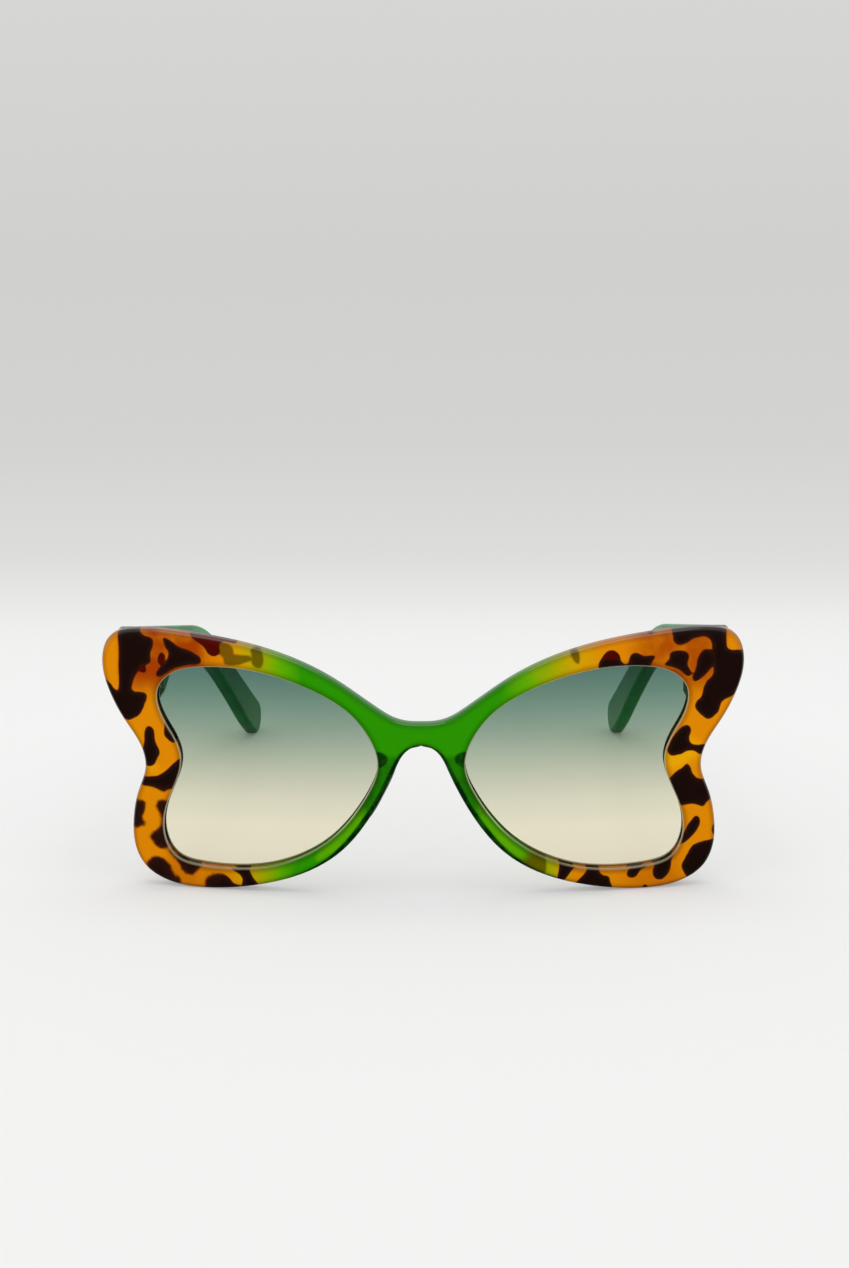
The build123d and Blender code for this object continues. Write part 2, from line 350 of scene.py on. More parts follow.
def placed(piece: bpy.types.Object, body: str, finish: bpy.types.Material, node: str) -> None:
    """Dress a piece, let it ride on its body and stand for its node.

    Args:
        piece: The new piece.
        body: The body that it moves with.
        finish: Its finish.
        node: The node that it replaces.
    """
    coated(piece, finish)
    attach(piece, body)
    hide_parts(node)
    log.info("%s rides on %s: %d vertices", piece.name, body, len(piece.data.vertices))


def rounded_rectangle(low: tuple, high: tuple, radius: float, corner_steps: int = 6) -> np.ndarray:
    """The outline of a rectangle with round corners, each a quarter circle about its own centre.

    Args:
        low, high: Two opposite corners.
        radius: The corners' radius.
        corner_steps: How many points each corner has.

    Returns:
        Its points, counter-clockwise.
    """
    quarter = np.linspace(0, math.pi / 2, corner_steps)
    turn = np.concatenate([quarter + number * math.pi / 2 for number in range(4)])
    left, right = low[0] + radius, high[0] - radius
    bottom, top = low[1] + radius, high[1] - radius
    centres = np.repeat([[right, top], [left, top], [left, bottom], [right, bottom]], corner_steps, axis=0)
    return centres + radius * np.stack([np.cos(turn), np.sin(turn)], axis=1)


def bar(name: str, rings: np.ndarray) -> bpy.types.Object:
    """Make a bar from the loops round it, closed by a fan about the mean of the loop at each end.

    Args:
        name: The object's name.
        rings: The places, as points round a loop by loops along the bar by coordinates.

    Returns:
        The new object.
    """
    count, levels, _ = rings.shape
    points = np.vstack([rings.reshape(-1, 3), rings[:, [0, -1]].mean(axis=0)])
    faces = grid_faces(count, levels, columns_close=True, rows_close=False).reshape(-1, 4).tolist()
    for number, level in ((0, 0), (1, levels - 1)):
        hub = count * levels + number
        faces += [[column * levels + level, (column + 1) % count * levels + level, hub]
                  for column in range(count)]
    return solid(name, points - [0, BACK_SHIFT, 0], faces)


class Shading:
    """The shader nodes of one material or world, made and joined by short calls."""

    def __init__(self, owner: bpy.types.ID) -> None:
        """Start with no nodes.

        Args:
            owner: The new material or world.
        """
        self.owner = owner
        self.owner.use_nodes = True
        self.tree = self.owner.node_tree
        self.tree.nodes.clear()

    def add(self, kind: str, settings: dict | None = None, **inputs: object) -> bpy.types.Node:
        """Add a node.

        Args:
            kind: The node's type.
            settings: Properties of the node itself.
            inputs: Values or output sockets for its inputs, by name with _ for a space, or numbered as at_0.

        Returns:
            The node.
        """
        node = self.tree.nodes.new(kind)
        for name, value in (settings or {}).items():
            setattr(node, name, value)
        for name, value in inputs.items():
            key = int(name[3:]) if name.startswith("at_") else name.replace("_", " ")
            if isinstance(value, bpy.types.NodeSocket):
                self.tree.links.new(value, node.inputs[key])
            else:
                node.inputs[key].default_value = value
        return node

    def attribute(self, name: str) -> bpy.types.NodeSocket:
        """The number kept under a name at each vertex."""
        return self.add("ShaderNodeAttribute", {"attribute_name": name}).outputs["Fac"]

    def place(self) -> bpy.types.NodeSocket:
        """The object's own coordinates, in metres."""
        return self.add("ShaderNodeTexCoord").outputs["Object"]

    def noise(self, scale: float, detail: float = 2.0, roughness: float = 0.5) -> bpy.types.NodeSocket:
        """Cloudy noise from 0 to 1, with scale features to the metre."""
        return self.add("ShaderNodeTexNoise", Vector=self.place(), Scale=scale, Detail=detail,
                        Roughness=roughness).outputs["Fac"]

    def math(self, operation: str, first: object, second: object = 0.0) -> bpy.types.NodeSocket:
        """One operation on two values."""
        return self.add("ShaderNodeMath", {"operation": operation}, at_0=first, at_1=second).outputs[0]

    def stretched(self, value: object, low: float, high: float, start: float = 0.0,
                  end: float = 1.0) -> bpy.types.NodeSocket:
        """Map low to start and high to end, smoothly and held at both ends."""
        return self.add("ShaderNodeMapRange", {"interpolation_type": "SMOOTHSTEP"}, Value=value, From_Min=low,
                        From_Max=high, To_Min=start, To_Max=end).outputs["Result"]

    def polish(self, grain: float, gloss: float) -> bpy.types.NodeSocket:
        """Roughness that drifts up from the gloss value, with grain features to the metre."""
        return self.stretched(self.noise(grain, 4.0), *NOISE_SPAN, gloss, gloss * DULLEST)

    def drift(self, grain: float, detail: float, share: float) -> bpy.types.NodeSocket:
        """A noise about 0, times a share."""
        return self.math("MULTIPLY", self.math("SUBTRACT", self.noise(grain, detail), 0.5), share)

    def ramp(self, value: object, stops: list) -> bpy.types.NodeSocket:
        """Colours along a value.

        Args:
            value: The share from 0 to 1 at each place.
            stops: Pairs of a share and its colour, in order.

        Returns:
            The colour at each place.
        """
        node = self.add("ShaderNodeValToRGB", Fac=value)
        elements = node.color_ramp.elements
        while len(elements) < len(stops):
            elements.new(0.5)
        for element, (share, colour) in zip(elements, stops):
            element.position = share
            element.color = colour
        return node.outputs["Color"]

    def blend(self, share: object, first: object, second: object) -> bpy.types.NodeSocket:
        """Mix two colours by a share. They go to the node's sockets 6 and 7, and the result is its third."""
        return self.add("ShaderNodeMix", {"data_type": "RGBA"}, at_0=share, at_6=first,
                        at_7=second).outputs[2]

    def relief(self, grain: float, detail: float, strength: float, distance: float) -> bpy.types.NodeSocket:
        """Small relief of cloudy noise, with grain features to the metre."""
        return self.add("ShaderNodeBump", Height=self.noise(grain, detail), Strength=strength,
                        Distance=distance).outputs["Normal"]

    def surface(self, shader: bpy.types.NodeSocket) -> bpy.types.Material:
        """Finish the material with its surface shader."""
        self.add("ShaderNodeOutputMaterial", Surface=shader)
        return self.owner


@dataclass(frozen=True)
class TortoisePlastic:
    """Polished amber plastic with dark brown spots, which runs into green at the bridge.

    A grain is a count of features to the metre. A band is the span of a value over which a share rises from 0
    to 1, or, where it has four numbers, from the third to the fourth.
    """

    green: tuple = linear(44, 152, 0)
    bright_green: tuple = linear(98, 176, 0)
    yellow_green: tuple = linear(158, 172, 0)
    yellow: tuple = linear(214, 164, 0)
    amber: tuple = linear(230, 140, 0)
    burnt: tuple = linear(168, 62, 0)
    gold: tuple = linear(240, 172, 0)
    olive: tuple = linear(92, 70, 0)
    spot_edge: tuple = linear(110, 36, 0)
    spot: tuple = linear(44, 20, 13)
    spot_heart: tuple = linear(26, 12, 9)
    rust: tuple = linear(78, 8, 0)
    # Painted shade of the nose arch and of the pads seen through the nasal rims.
    deep_green: tuple = linear(6, 46, 6)
    # Painted shade on the opening walls, painted reflection on the wall below the lens, and a painted
    # highlight on the lip.
    dark_wall: tuple = linear(22, 14, 4)
    pale_wall: tuple = linear(150, 142, 110)
    lip: tuple = linear(236, 226, 180)
    # The black of the painted shade along the edges.
    black: tuple = (0.0, 0.0, 0.0, 1.0)
    warmth_stops: tuple = (0.08, 0.30, 0.50, 0.72, 0.92)
    spot_stops: tuple = (0.0, 0.12, 0.6)
    spot_reach: float = 0.5
    ragged_grain: float = 420.0
    ragged: float = 0.5
    drift_grain: float = 130.0
    drift: float = 0.22
    gold_grain: float = 95.0
    gold_band: tuple = (0.42, 0.62)
    streak_grain: float = 160.0
    streak_band: tuple = (0.34, 0.6, 0.55, 1.0)
    haze_band: tuple = (-0.35, 0.35, 0.0, 0.85)
    cloud_grain: float = 330.0
    cloud_band: tuple = (0.3, 0.7, 0.75, 1.15)
    spot_band: tuple = (-0.14, 0.14)
    edge_loss: float = 0.5
    polish_grain: float = 600.0
    gloss: float = 0.06
    relief_grain: float = 260.0
    relief: float = 0.04
    relief_depth: float = 0.0002
    index: float = 1.49
    shine: float = 0.38

    def build(self) -> bpy.types.Material:
        """Make the material. It reads the attributes that TortoisePattern and RimShade write.

        Returns:
            The material.
        """
        s = Shading(bpy.data.materials.new("tortoise_plastic"))
        ragged = s.drift(self.ragged_grain, 3.0, self.ragged)
        inside = s.math("ADD", s.attribute("spots"), ragged)
        browns = (self.spot_edge, self.spot, self.spot_heart)
        brown = s.ramp(s.math("MULTIPLY", inside, self.spot_reach), list(zip(self.spot_stops, browns)))
        brown = s.blend(s.attribute("rust"), brown, self.rust)
        colour = s.blend(s.stretched(inside, *self.spot_band), self.body(s, ragged), brown)
        # Painted highlight on the lip beside each opening, painted reflection on the wall below the lens, and
        # painted shade on the other opening walls.
        below = s.attribute("underside")
        colour = s.blend(s.attribute("lip"), colour, s.blend(below, self.lip, self.pale_wall))
        colour = s.blend(s.attribute("wall"), colour, s.blend(below, self.dark_wall, self.pale_wall))
        shader = s.add("ShaderNodeBsdfPrincipled", Base_Color=colour,
                       Roughness=s.polish(self.polish_grain, self.gloss), IOR=self.index,
                       Specular_IOR_Level=self.shine,
                       Normal=s.relief(self.relief_grain, 2.0, self.relief, self.relief_depth))
        return s.surface(shader.outputs["BSDF"])

    def body(self, s: Shading, ragged: bpy.types.NodeSocket) -> bpy.types.NodeSocket:
        """The plastic's colour between the spots, from the bridge's green to the wings' amber, with painted
        shade beside the nose arch, over the pads and towards the edges.

        Args:
            s: The material's nodes.
            ragged: The noise that makes borders ragged.

        Returns:
            The colour.
        """
        warmth = s.math("ADD", s.attribute("warmth"), s.drift(self.drift_grain, 2.0, self.drift))
        colours = (self.green, self.bright_green, self.yellow_green, self.yellow, self.amber)
        body = s.ramp(warmth, list(zip(self.warmth_stops, colours)))
        gold = s.stretched(s.noise(self.gold_grain, 1.0), *self.gold_band)
        body = s.blend(s.math("MULTIPLY", gold, s.attribute("gold")), body, self.gold)
        streaks = s.stretched(s.noise(self.streak_grain, 3.0), *self.streak_band)
        body = s.blend(s.math("MULTIPLY", streaks, s.attribute("burnt")), body, self.burnt)
        haze = s.stretched(s.math("ADD", s.attribute("haze"), ragged), *self.haze_band)
        body = s.blend(haze, body, self.olive)
        clouds = s.stretched(s.noise(self.cloud_grain), *self.cloud_band)
        # Painted shade: deep green in a strip beside the nose arch and where the pads lie behind the nasal
        # rims.
        body = s.blend(s.math("MULTIPLY", s.attribute("shade"), clouds), body, self.deep_green)
        # Painted shade: the colour darkens towards black near the outline and the openings.
        return s.blend(s.math("MULTIPLY", s.attribute("edge"), self.edge_loss), body, self.black)


@dataclass(frozen=True)
class GreenPlastic:
    """Polished green plastic: bright in the temples, and darker in the nose pads as painted shade."""

    name: str = "green_plastic"
    dark: tuple = linear(0, 88, 32)
    green: tuple = linear(0, 130, 50)
    cloud_grain: float = 60.0
    cloud_stops: tuple = (0.3, 0.7)
    polish_grain: float = 500.0
    gloss: float = 0.07
    relief_grain: float = 240.0
    relief: float = 0.05
    relief_depth: float = 0.0002
    index: float = 1.49
    shine: float = 0.08

    def build(self) -> bpy.types.Material:
        """Make the material, clouded as a moulded translucent plastic is.

        Returns:
            The material.
        """
        s = Shading(bpy.data.materials.new(self.name))
        colour = s.ramp(s.noise(self.cloud_grain, 3.0), list(zip(self.cloud_stops, (self.dark, self.green))))
        shader = s.add("ShaderNodeBsdfPrincipled", Base_Color=colour,
                       Roughness=s.polish(self.polish_grain, self.gloss), IOR=self.index,
                       Specular_IOR_Level=self.shine,
                       Normal=s.relief(self.relief_grain, 2.0, self.relief, self.relief_depth))
        return s.surface(shader.outputs["BSDF"])


@dataclass(frozen=True)
class GradientTint:
    """Clear lens plastic with a tint that fades from grey-green at the top to cream at the bottom.

    Each stop is a height in millimetres and what the whole lens lets through there. A lens has two faces, so
    each face lets through the square root.
    """

    stops: tuple = (
        (6.0, (0.93, 0.88, 0.69)), (16.0, (0.92, 0.87, 0.68)), (22.0, (0.80, 0.775, 0.60)),
        (25.5, (0.70, 0.70, 0.545)), (29.0, (0.59, 0.62, 0.48)), (33.0, (0.47, 0.53, 0.41)),
        (40.0, (0.28, 0.385, 0.30)), (47.5, (0.155, 0.27, 0.21)), (54.0, (0.10, 0.19, 0.165)),
    )
    drift_grain: float = 40.0
    drift: float = 0.02
    polish_grain: float = 300.0
    roughness_band: tuple = (0.3, 0.7, 0.03, 0.06)
    index: float = 1.5
    film_blend: float = 0.15
    shine: float = 0.06

    def build(self) -> bpy.types.Material:
        """Make the material: a see-through tint, with a little gloss that grows where the lens turns away.

        Returns:
            The material.
        """
        s = Shading(bpy.data.materials.new("gradient_tint"))
        height = s.add("ShaderNodeSeparateXYZ", Vector=s.place()).outputs["Z"]
        low, high = self.stops[0][0], self.stops[-1][0]
        share = s.math("DIVIDE", s.math("SUBTRACT", height, low * MM), (high - low) * MM)
        share = s.math("ADD", share, s.drift(self.drift_grain, 1.0, self.drift))
        tint = s.ramp(share, [((level - low) / (high - low), (*np.sqrt(colour), 1.0))
                              for level, colour in self.stops])
        clear = s.add("ShaderNodeBsdfTransparent", Color=tint)
        film = s.add("ShaderNodeBsdfPrincipled", Base_Color=(0.0, 0.0, 0.0, 1.0),
                     Roughness=s.stretched(s.noise(self.polish_grain), *self.roughness_band),
                     IOR=self.index, Specular_IOR_Level=1.0)
        edge = s.add("ShaderNodeLayerWeight", Blend=self.film_blend).outputs["Fresnel"]
        mixed = s.add("ShaderNodeMixShader", Fac=s.math("MULTIPLY", edge, self.shine),
                      at_1=clear.outputs[0], at_2=film.outputs["BSDF"])
        return s.surface(mixed.outputs[0])


@dataclass(frozen=True)
class HingeMetal:
    """Stamped and tumbled nickel silver of the hinge leaves, or the brighter steel of the screws."""

    name: str
    bright: tuple
    dull: tuple
    roughness: float
    mark_grain: float = 900.0
    mark_roughness: float = 0.6
    mark_band: tuple = (0.45, 0.7)
    dulling: float = 1.7
    relief_grain: float = 2500.0
    relief: float = 0.08
    relief_depth: float = 0.00005

    def build(self) -> bpy.types.Material:
        """Make the material, with fine grain and small dull marks.

        Returns:
            The material.
        """
        s = Shading(bpy.data.materials.new(self.name))
        marks = s.noise(self.mark_grain, 4.0, self.mark_roughness)
        colour = s.blend(s.stretched(marks, *self.mark_band), self.bright, self.dull)
        rough = s.stretched(marks, *NOISE_SPAN, self.roughness, self.roughness * self.dulling)
        shader = s.add("ShaderNodeBsdfPrincipled", Base_Color=colour, Metallic=1.0, Roughness=rough,
                       Normal=s.relief(self.relief_grain, 3.0, self.relief, self.relief_depth))
        return s.surface(shader.outputs["BSDF"])


@dataclass(frozen=True)
class PalePaper:
    """The pale paper of the sweep.

    The camera, gloss and glass see the backdrop's painted tone of light and shade, and every other ray the
    lit paper. Gloss sees the floor before the glasses unlit, so that no pale veil lies on the plastic.
    """

    light: tuple = linear(233, 233, 233)
    dark: tuple = linear(232, 232, 232)
    unlit: tuple = linear(20, 20, 20)
    grain: float = 900.0
    blue_share: float = 0.985

    def build(self) -> bpy.types.Material:
        """Make the material. It reads the attributes that the sweep's vertices hold.

        Returns:
            The material.
        """
        s = Shading(bpy.data.materials.new("pale_paper"))
        rays = s.add("ShaderNodeLightPath").outputs
        shown = s.math("MAXIMUM", rays["Is Glossy Ray"], rays["Is Transmission Ray"])
        shown = s.math("MAXIMUM", rays["Is Camera Ray"], shown)
        tone = s.attribute("tone")
        tint = s.add("ShaderNodeCombineColor", at_0=tone, at_1=tone,
                     at_2=s.math("MULTIPLY", tone, self.blue_share))
        backdrop = s.add("ShaderNodeEmission", Color=tint.outputs[0], Strength=1.0)
        paper = s.add("ShaderNodeBsdfDiffuse", Color=s.blend(s.noise(self.grain), self.dark, self.light))
        sheet = s.add("ShaderNodeMixShader", Fac=s.math("MULTIPLY", shown, s.attribute("backdrop")),
                      at_1=paper.outputs[0], at_2=backdrop.outputs[0])
        unlit = s.add("ShaderNodeEmission", Color=self.unlit, Strength=1.0)
        hidden = s.math("MULTIPLY", rays["Is Glossy Ray"], s.attribute("far"))
        whole = s.add("ShaderNodeMixShader", Fac=hidden, at_1=sheet.outputs[0], at_2=unlit.outputs[0])
        return s.surface(whole.outputs[0])


@dataclass(frozen=True)
class Blot:
    """A patch of the tortoise pattern: a shape in the front view with its corners rounded.

    The corners are x and z in turn, in millimetres.
    """

    corners: tuple
    cut: float = 0.25
    cuts: int = 3

    def edge(self) -> np.ndarray:
        """The patch's outline, whose corners are cut off several times over.

        A cut takes a quarter of each side away at both of its ends.

        Returns:
            The outline's points, one row each.
        """
        kept = 1 - self.cut
        line = np.asarray(self.corners, float).reshape(-1, 2)
        for _ in range(self.cuts):
            after = np.roll(line, -1, axis=0)
            line = np.stack([kept * line + self.cut * after, self.cut * line + kept * after], axis=1)
            line = line.reshape(-1, 2)
        return line

    def inside(self, points: np.ndarray) -> np.ndarray:
        """How far each place lies inside the patch, negative outside.

        A place is inside when a ray from it crosses the outline an odd number of times.

        Args:
            points: The places as (x, z), one row each.

        Returns:
            The distances to the outline in millimetres.
        """
        line = self.edge()
        after = np.roll(line, -1, axis=0)
        x, z = points[:, None, 0], points[:, None, 1]
        spans = (line[:, 1] > z) != (after[:, 1] > z)
        rise = np.where(after[:, 1] == line[:, 1], TINY, after[:, 1] - line[:, 1])
        crossed = spans & (x < line[:, 0] + (z - line[:, 1]) / rise * (after[:, 0] - line[:, 0]))
        sign = np.where(crossed.sum(1) % 2, 1.0, -1.0)
        return sign * distance_to(line, points, closed=True)


def deepest(blots: tuple, points: np.ndarray) -> np.ndarray:
    """The greatest depth inside any of the patches."""
    return np.max([blot.inside(points) for blot in blots], axis=0)


@dataclass(frozen=True)
class TortoisePattern:
    """Where the spots of the front lie, drawn for each wing, and where amber turns to green.

    A zone is where a share rises or falls along x or z. With four numbers it rises over the first two and
    falls over the last two.
    """

    right_spots: tuple = (
        # The first two spots are partly spots of the pattern and partly painted shade, where the end piece
        # and the temple behind show dark through the plastic.
        Blot((-69.8, 64, -64.6, 64, -64.4, 60.6, -61.4, 60, -61.2, 58, -62.2, 56.5, -61.8, 54.2,
              -63.6, 53.2, -65.3, 51.8, -66.4, 50, -67, 47.2, -64.6, 47.4, -62.8, 46.8, -63.8, 44.4,
              -64.8, 42, -66.6, 40.8, -68.6, 40, -73, 44, -74, 50, -72.4, 49.6, -70.2, 46.6, -69.8, 50,
              -69.8, 58)),
        Blot((-59.2, 60.4, -57.4, 59.6, -55.5, 58.2, -53, 57.4, -51.2, 56.6, -50, 55.6, -50.2, 54.2,
              -53, 54, -56, 53.2, -58, 52, -60.4, 50.6, -61.2, 51.4, -60, 53.4, -58.2, 55, -57.6, 56.6,
              -58.8, 58.2)),
        Blot((-64.2, 37.6, -63.8, 39, -62.6, 39.4, -61.6, 38.4, -61.7, 36.3, -61.2, 34.8, -60.4, 33.3,
              -61.2, 31.6, -62, 30, -63.2, 29.6, -65, 30, -65, 33, -64.2, 35)),
        Blot((-60.4, 44, -59.2, 41.4, -59.2, 39, -59.7, 37.3, -58.3, 36.1, -57.2, 35.4, -56, 36.4, -57, 39,
              -58.6, 42, -59.6, 44.6)),
        Blot((-67, 25.4, -65.8, 27.1, -63.5, 27.2, -61.2, 27.5, -59.3, 28.9, -57.6, 30.6, -55.6, 32.4,
              -54.6, 30, -55.8, 27.2, -57.4, 24.6, -58.8, 24.2, -60, 23.5, -61.4, 24.2, -63, 24.8,
              -65.2, 24.8)),
        Blot((-68, 21.4, -65.8, 21.6, -64.5, 20.6, -65, 18.6, -65.3, 17, -64.6, 15.3, -65.6, 14.5,
              -69, 14.4, -69, 18)),
        Blot((-61.9, 21, -60.4, 21.9, -58, 21.4, -58, 18, -58.2, 15, -58, 12, -57.6, 10.6, -60.2, 9.3,
              -62, 9.6, -63.7, 11.3, -64.2, 12.8, -62.6, 13.6, -61.2, 15.4, -60.9, 17.4, -62, 19)),
        Blot((-65.6, 2.6, -65.4, 5.5, -63.6, 7.2, -62, 7.7, -60.2, 7, -59.2, 5, -58.4, 3.4, -57, 2.2,
              -56.6, 0.4, -60, -2, -64, -1)),
        Blot((-59.8, 9.4, -57.6, 6.8, -56.8, 4.8, -55.6, 3.5, -54.2, 3.3, -52.6, 4.4, -51.6, 5.8,
              -52.6, 7.4, -56, 8, -58.4, 9.8)),
        Blot((-51.4, 2.4, -49.6, 4, -48, 4.4, -46.2, 4, -45, 3, -44.3, 1.8, -42.6, 1.3, -40.4, 0.8, -40, -2,
              -46, -2, -51, -2)),
        Blot((-45.6, 6.8, -44.8, 5.4, -43, 4.4, -42, 3.2, -42.4, 1.8, -42, -1, -38.4, -1, -38.2, 2,
              -39.6, 3.4, -40.4, 5.6, -40.4, 7)),
    )
    left_spots: tuple = (
        Blot((40, 54.4, 41, 56.2, 42.3, 57.6, 43.8, 57.6, 45, 56.4, 45.4, 54.5, 46.8, 54.2, 47.1, 55.4,
              47.6, 56.6, 49.2, 56.7, 50.4, 55.8, 52.4, 56.2, 53.4, 55.6, 52.3, 54.4, 52, 53, 47, 52.4,
              40.2, 52.6)),
        Blot((42, 59.5, 43.4, 60.6, 45, 60, 44.4, 62, 42.2, 61)),
        Blot((50.8, 61.1, 52, 60.3, 53.5, 61.5, 52.6, 63, 51, 62.6)),
        # This spot is partly a spot of the pattern and partly painted shade, where the end piece and the
        # temple behind show dark through the plastic.
        Blot((56.5, 64, 57, 60.4, 57.2, 58.8, 58.6, 57.9, 60.5, 58.2, 61.6, 59.3, 63.6, 59.8, 65.4, 59.5,
              66.4, 58, 66.2, 55.5, 66.7, 52, 66.4, 50.6, 65.2, 49.6, 64.3, 48, 64.1, 46, 62.8, 45,
              62.3, 43.4, 63.6, 42, 65.4, 40.3, 67, 41, 68.2, 42.4, 68.6, 44.4, 70, 45.2, 72, 46, 75, 50,
              76, 56.4, 72.6, 56.2, 70, 56.4, 69.6, 58, 69.8, 64)),
        Blot((56.2, 56.4, 58.2, 56.9, 60.6, 56.6, 61.1, 55, 60.5, 53.8, 61.2, 52.4, 61.8, 51.2, 60.6, 50.6,
              59.2, 52, 57.6, 53, 54.8, 53.6, 56.4, 55)),
        Blot((64.2, 57, 65.8, 56.8, 67.4, 55.2, 67, 53, 65, 51.2, 63.6, 49.8, 62.1, 49.3, 61.7, 50.6,
              62.5, 52.6, 62.8, 54.6)),
        Blot((57.6, 37.2, 59.4, 39.2, 61.1, 39.8, 61.9, 38.2, 61.2, 36.6, 61.6, 35.3, 62.8, 34.6,
              65.6, 34.8, 65.4, 32.6, 63.9, 32.1, 62.6, 33.3, 61, 33.4, 59.6, 32.7, 57.2, 32.2, 56, 33.6,
              56.4, 35)),
        Blot((57.2, 27.4, 58.4, 28.7, 59.8, 29.5, 60.9, 30.6, 61.8, 29.7, 62.2, 28, 63.4, 26.7, 65.2, 26.2,
              67.6, 26.8, 68, 21.6, 66.2, 21.2, 65, 19.4, 63.6, 20.2, 62, 20.5, 60, 20.2, 58.4, 20.4,
              57, 24.2, 55.8, 26.2)),
        Blot((62.3, 16.6, 63.4, 17.8, 64.5, 17, 64.3, 15, 63.2, 13, 61.8, 11.7, 60, 10.4, 59, 11.2,
              60.4, 13.4, 61.4, 15.2)),
        Blot((67.9, 15.8, 67.1, 13.8, 67.7, 12.2, 70, 12, 70, 15.6)),
        Blot((62.1, 9.4, 63.2, 10.7, 65.6, 11.2, 70, 11.8, 70, 6, 66.5, 1, 63.6, 1, 62, 1.8, 61, 3.3,
              60.1, 5, 61, 7)),
        Blot((59.4, 9.8, 57.9, 7, 57.8, 4.8, 57.1, 3.1, 55.2, 1.8, 53.7, 2.8, 53.4, 4.6, 54, 6.2, 54.8, 8,
              57.4, 9.6)),
        Blot((47.2, 3.6, 47.6, 5.2, 49.4, 6, 52, 7.4, 52.4, 5.8, 50.6, 4.8, 49.9, 3.4, 48.6, 2.8)),
        Blot((50.6, -0.6, 51.8, 1.7, 53.2, -0.4)),
        Blot((38.8, 7.4, 37.6, 4.8, 36.2, 3.2, 34.6, 1.6, 36, -1.4, 45, -1.4, 43.7, 2, 43.4, 3.7, 41.8, 4,
              41, 4.9, 40.8, 7)),
        Blot((31.4, 9.4, 31.6, 6, 31.1, 4, 31, 1.6, 33, 3.2, 34.4, 5.2, 35.6, 6.8, 34.6, 8.4)),
    )
    rust: tuple = (
        Blot((-53.6, 64, -52.9, 60.6, -51.2, 59.4, -49.4, 58.3, -48.4, 56.6, -47, 55.9, -45.4, 56.9,
              -45.8, 58.6, -45.4, 59.6, -43.5, 59.3, -41.6, 59, -41, 61.6, -46, 63)),
        Blot((-60.4, 55.4, -59.6, 56.8, -58.6, 56.2, -58.4, 54.6, -59.2, 53.6, -60.4, 53.8)),
        Blot((-65.4, 52.8, -64, 53.8, -63, 53.2, -63.2, 51.8, -64.6, 51.6)),
        Blot((40.6, 54.8, 41.4, 56.4, 42.4, 57.6, 43.8, 57.6, 44.8, 56.4, 44.8, 55, 42.6, 55.4)),
    )
    haze: tuple = (
        Blot((-46.4, 59.6, -43.4, 59.2, -42.4, 57.8, -42.6, 56.8, -41, 56.8, -38.6, 56.6, -37.4, 55.6,
              -39.6, 55, -42, 54.2, -45, 54.2, -44.8, 56.2, -46.4, 56.8)),
        Blot((-41.8, 60.6, -39, 59.2, -36.6, 58.2, -35.8, 60, -40, 61.6)),
        Blot((-38.8, 58.2, -36.4, 58.6, -35.4, 56, -36.2, 53.4, -38.6, 54.4, -38.2, 56.6)),
        Blot((24.8, 11.4, 28.9, 9.6, 28.4, 4, 26, 4.4, 22.4, 7.4)),
        Blot((33.4, 57.6, 35.6, 58, 36, 55.8, 35.6, 54.4, 34.4, 55.4)),
    )
    right_brow: tuple = (25.0, 47.0)
    right_lobe: tuple = (27.0, 47.0)
    left_brow: tuple = (15.0, 44.0)
    left_lobe: tuple = (21.0, 37.0)
    lobe_high: float = 15.0
    brow_low: float = 45.0
    softness: float = 0.68
    soft_high: tuple = (22.0, 27.0)
    soft_side: tuple = (-48.0, -44.0)
    rust_depth: tuple = (-0.2, 0.5)
    haze_low: float = 14.0
    haze_least: float = 0.2
    haze_side: tuple = (26.0, 28.4)
    outer_zone: tuple = (44.0, 52.0)
    burnt_high: tuple = (44.0, 52.0)
    burnt_end: tuple = (69.0, 70.5)
    left_burnt: float = 0.85
    lobe_burnt: float = 0.35
    lobe_burnt_high: tuple = (6.0, 14.0)
    lobe_burnt_end: tuple = (58.0, 62.0)
    gold_zone: tuple = (26.0, 31.0, 38.0, 44.0)
    nasal_glow: Blot = Blot((12.8, 22.6, 14.2, 21.0, 16.8, 17.0, 21.5, 12.6, 25.0, 9.8, 24.4, 7.6,
                             20.6, 10.2, 16.6, 14.0, 14.0, 18.0, 12.6, 21.0))
    glow_depth: tuple = (-1.1, 0.9)
    glow_share: float = 0.27

    def warmth(self, x: np.ndarray, z: np.ndarray) -> np.ndarray:
        """0 in the green of the bridge and 1 in the amber of the wings.

        It rises evenly with the distance from the middle, between two places that differ on each side and
        change from the lower lobe to the brow.

        Args:
            x, z: The places in the front view.

        Returns:
            The shares.
        """
        up = smooth_step(z, self.lobe_high, self.brow_low)
        left = np.outer(1 - up, self.left_lobe) + np.outer(up, self.left_brow)
        right = np.outer(1 - up, self.right_lobe) + np.outer(up, self.right_brow)
        low, high = np.where((x > 0)[:, None], left, right).T
        return np.clip((np.abs(x) - low) / (high - low), 0, 1)

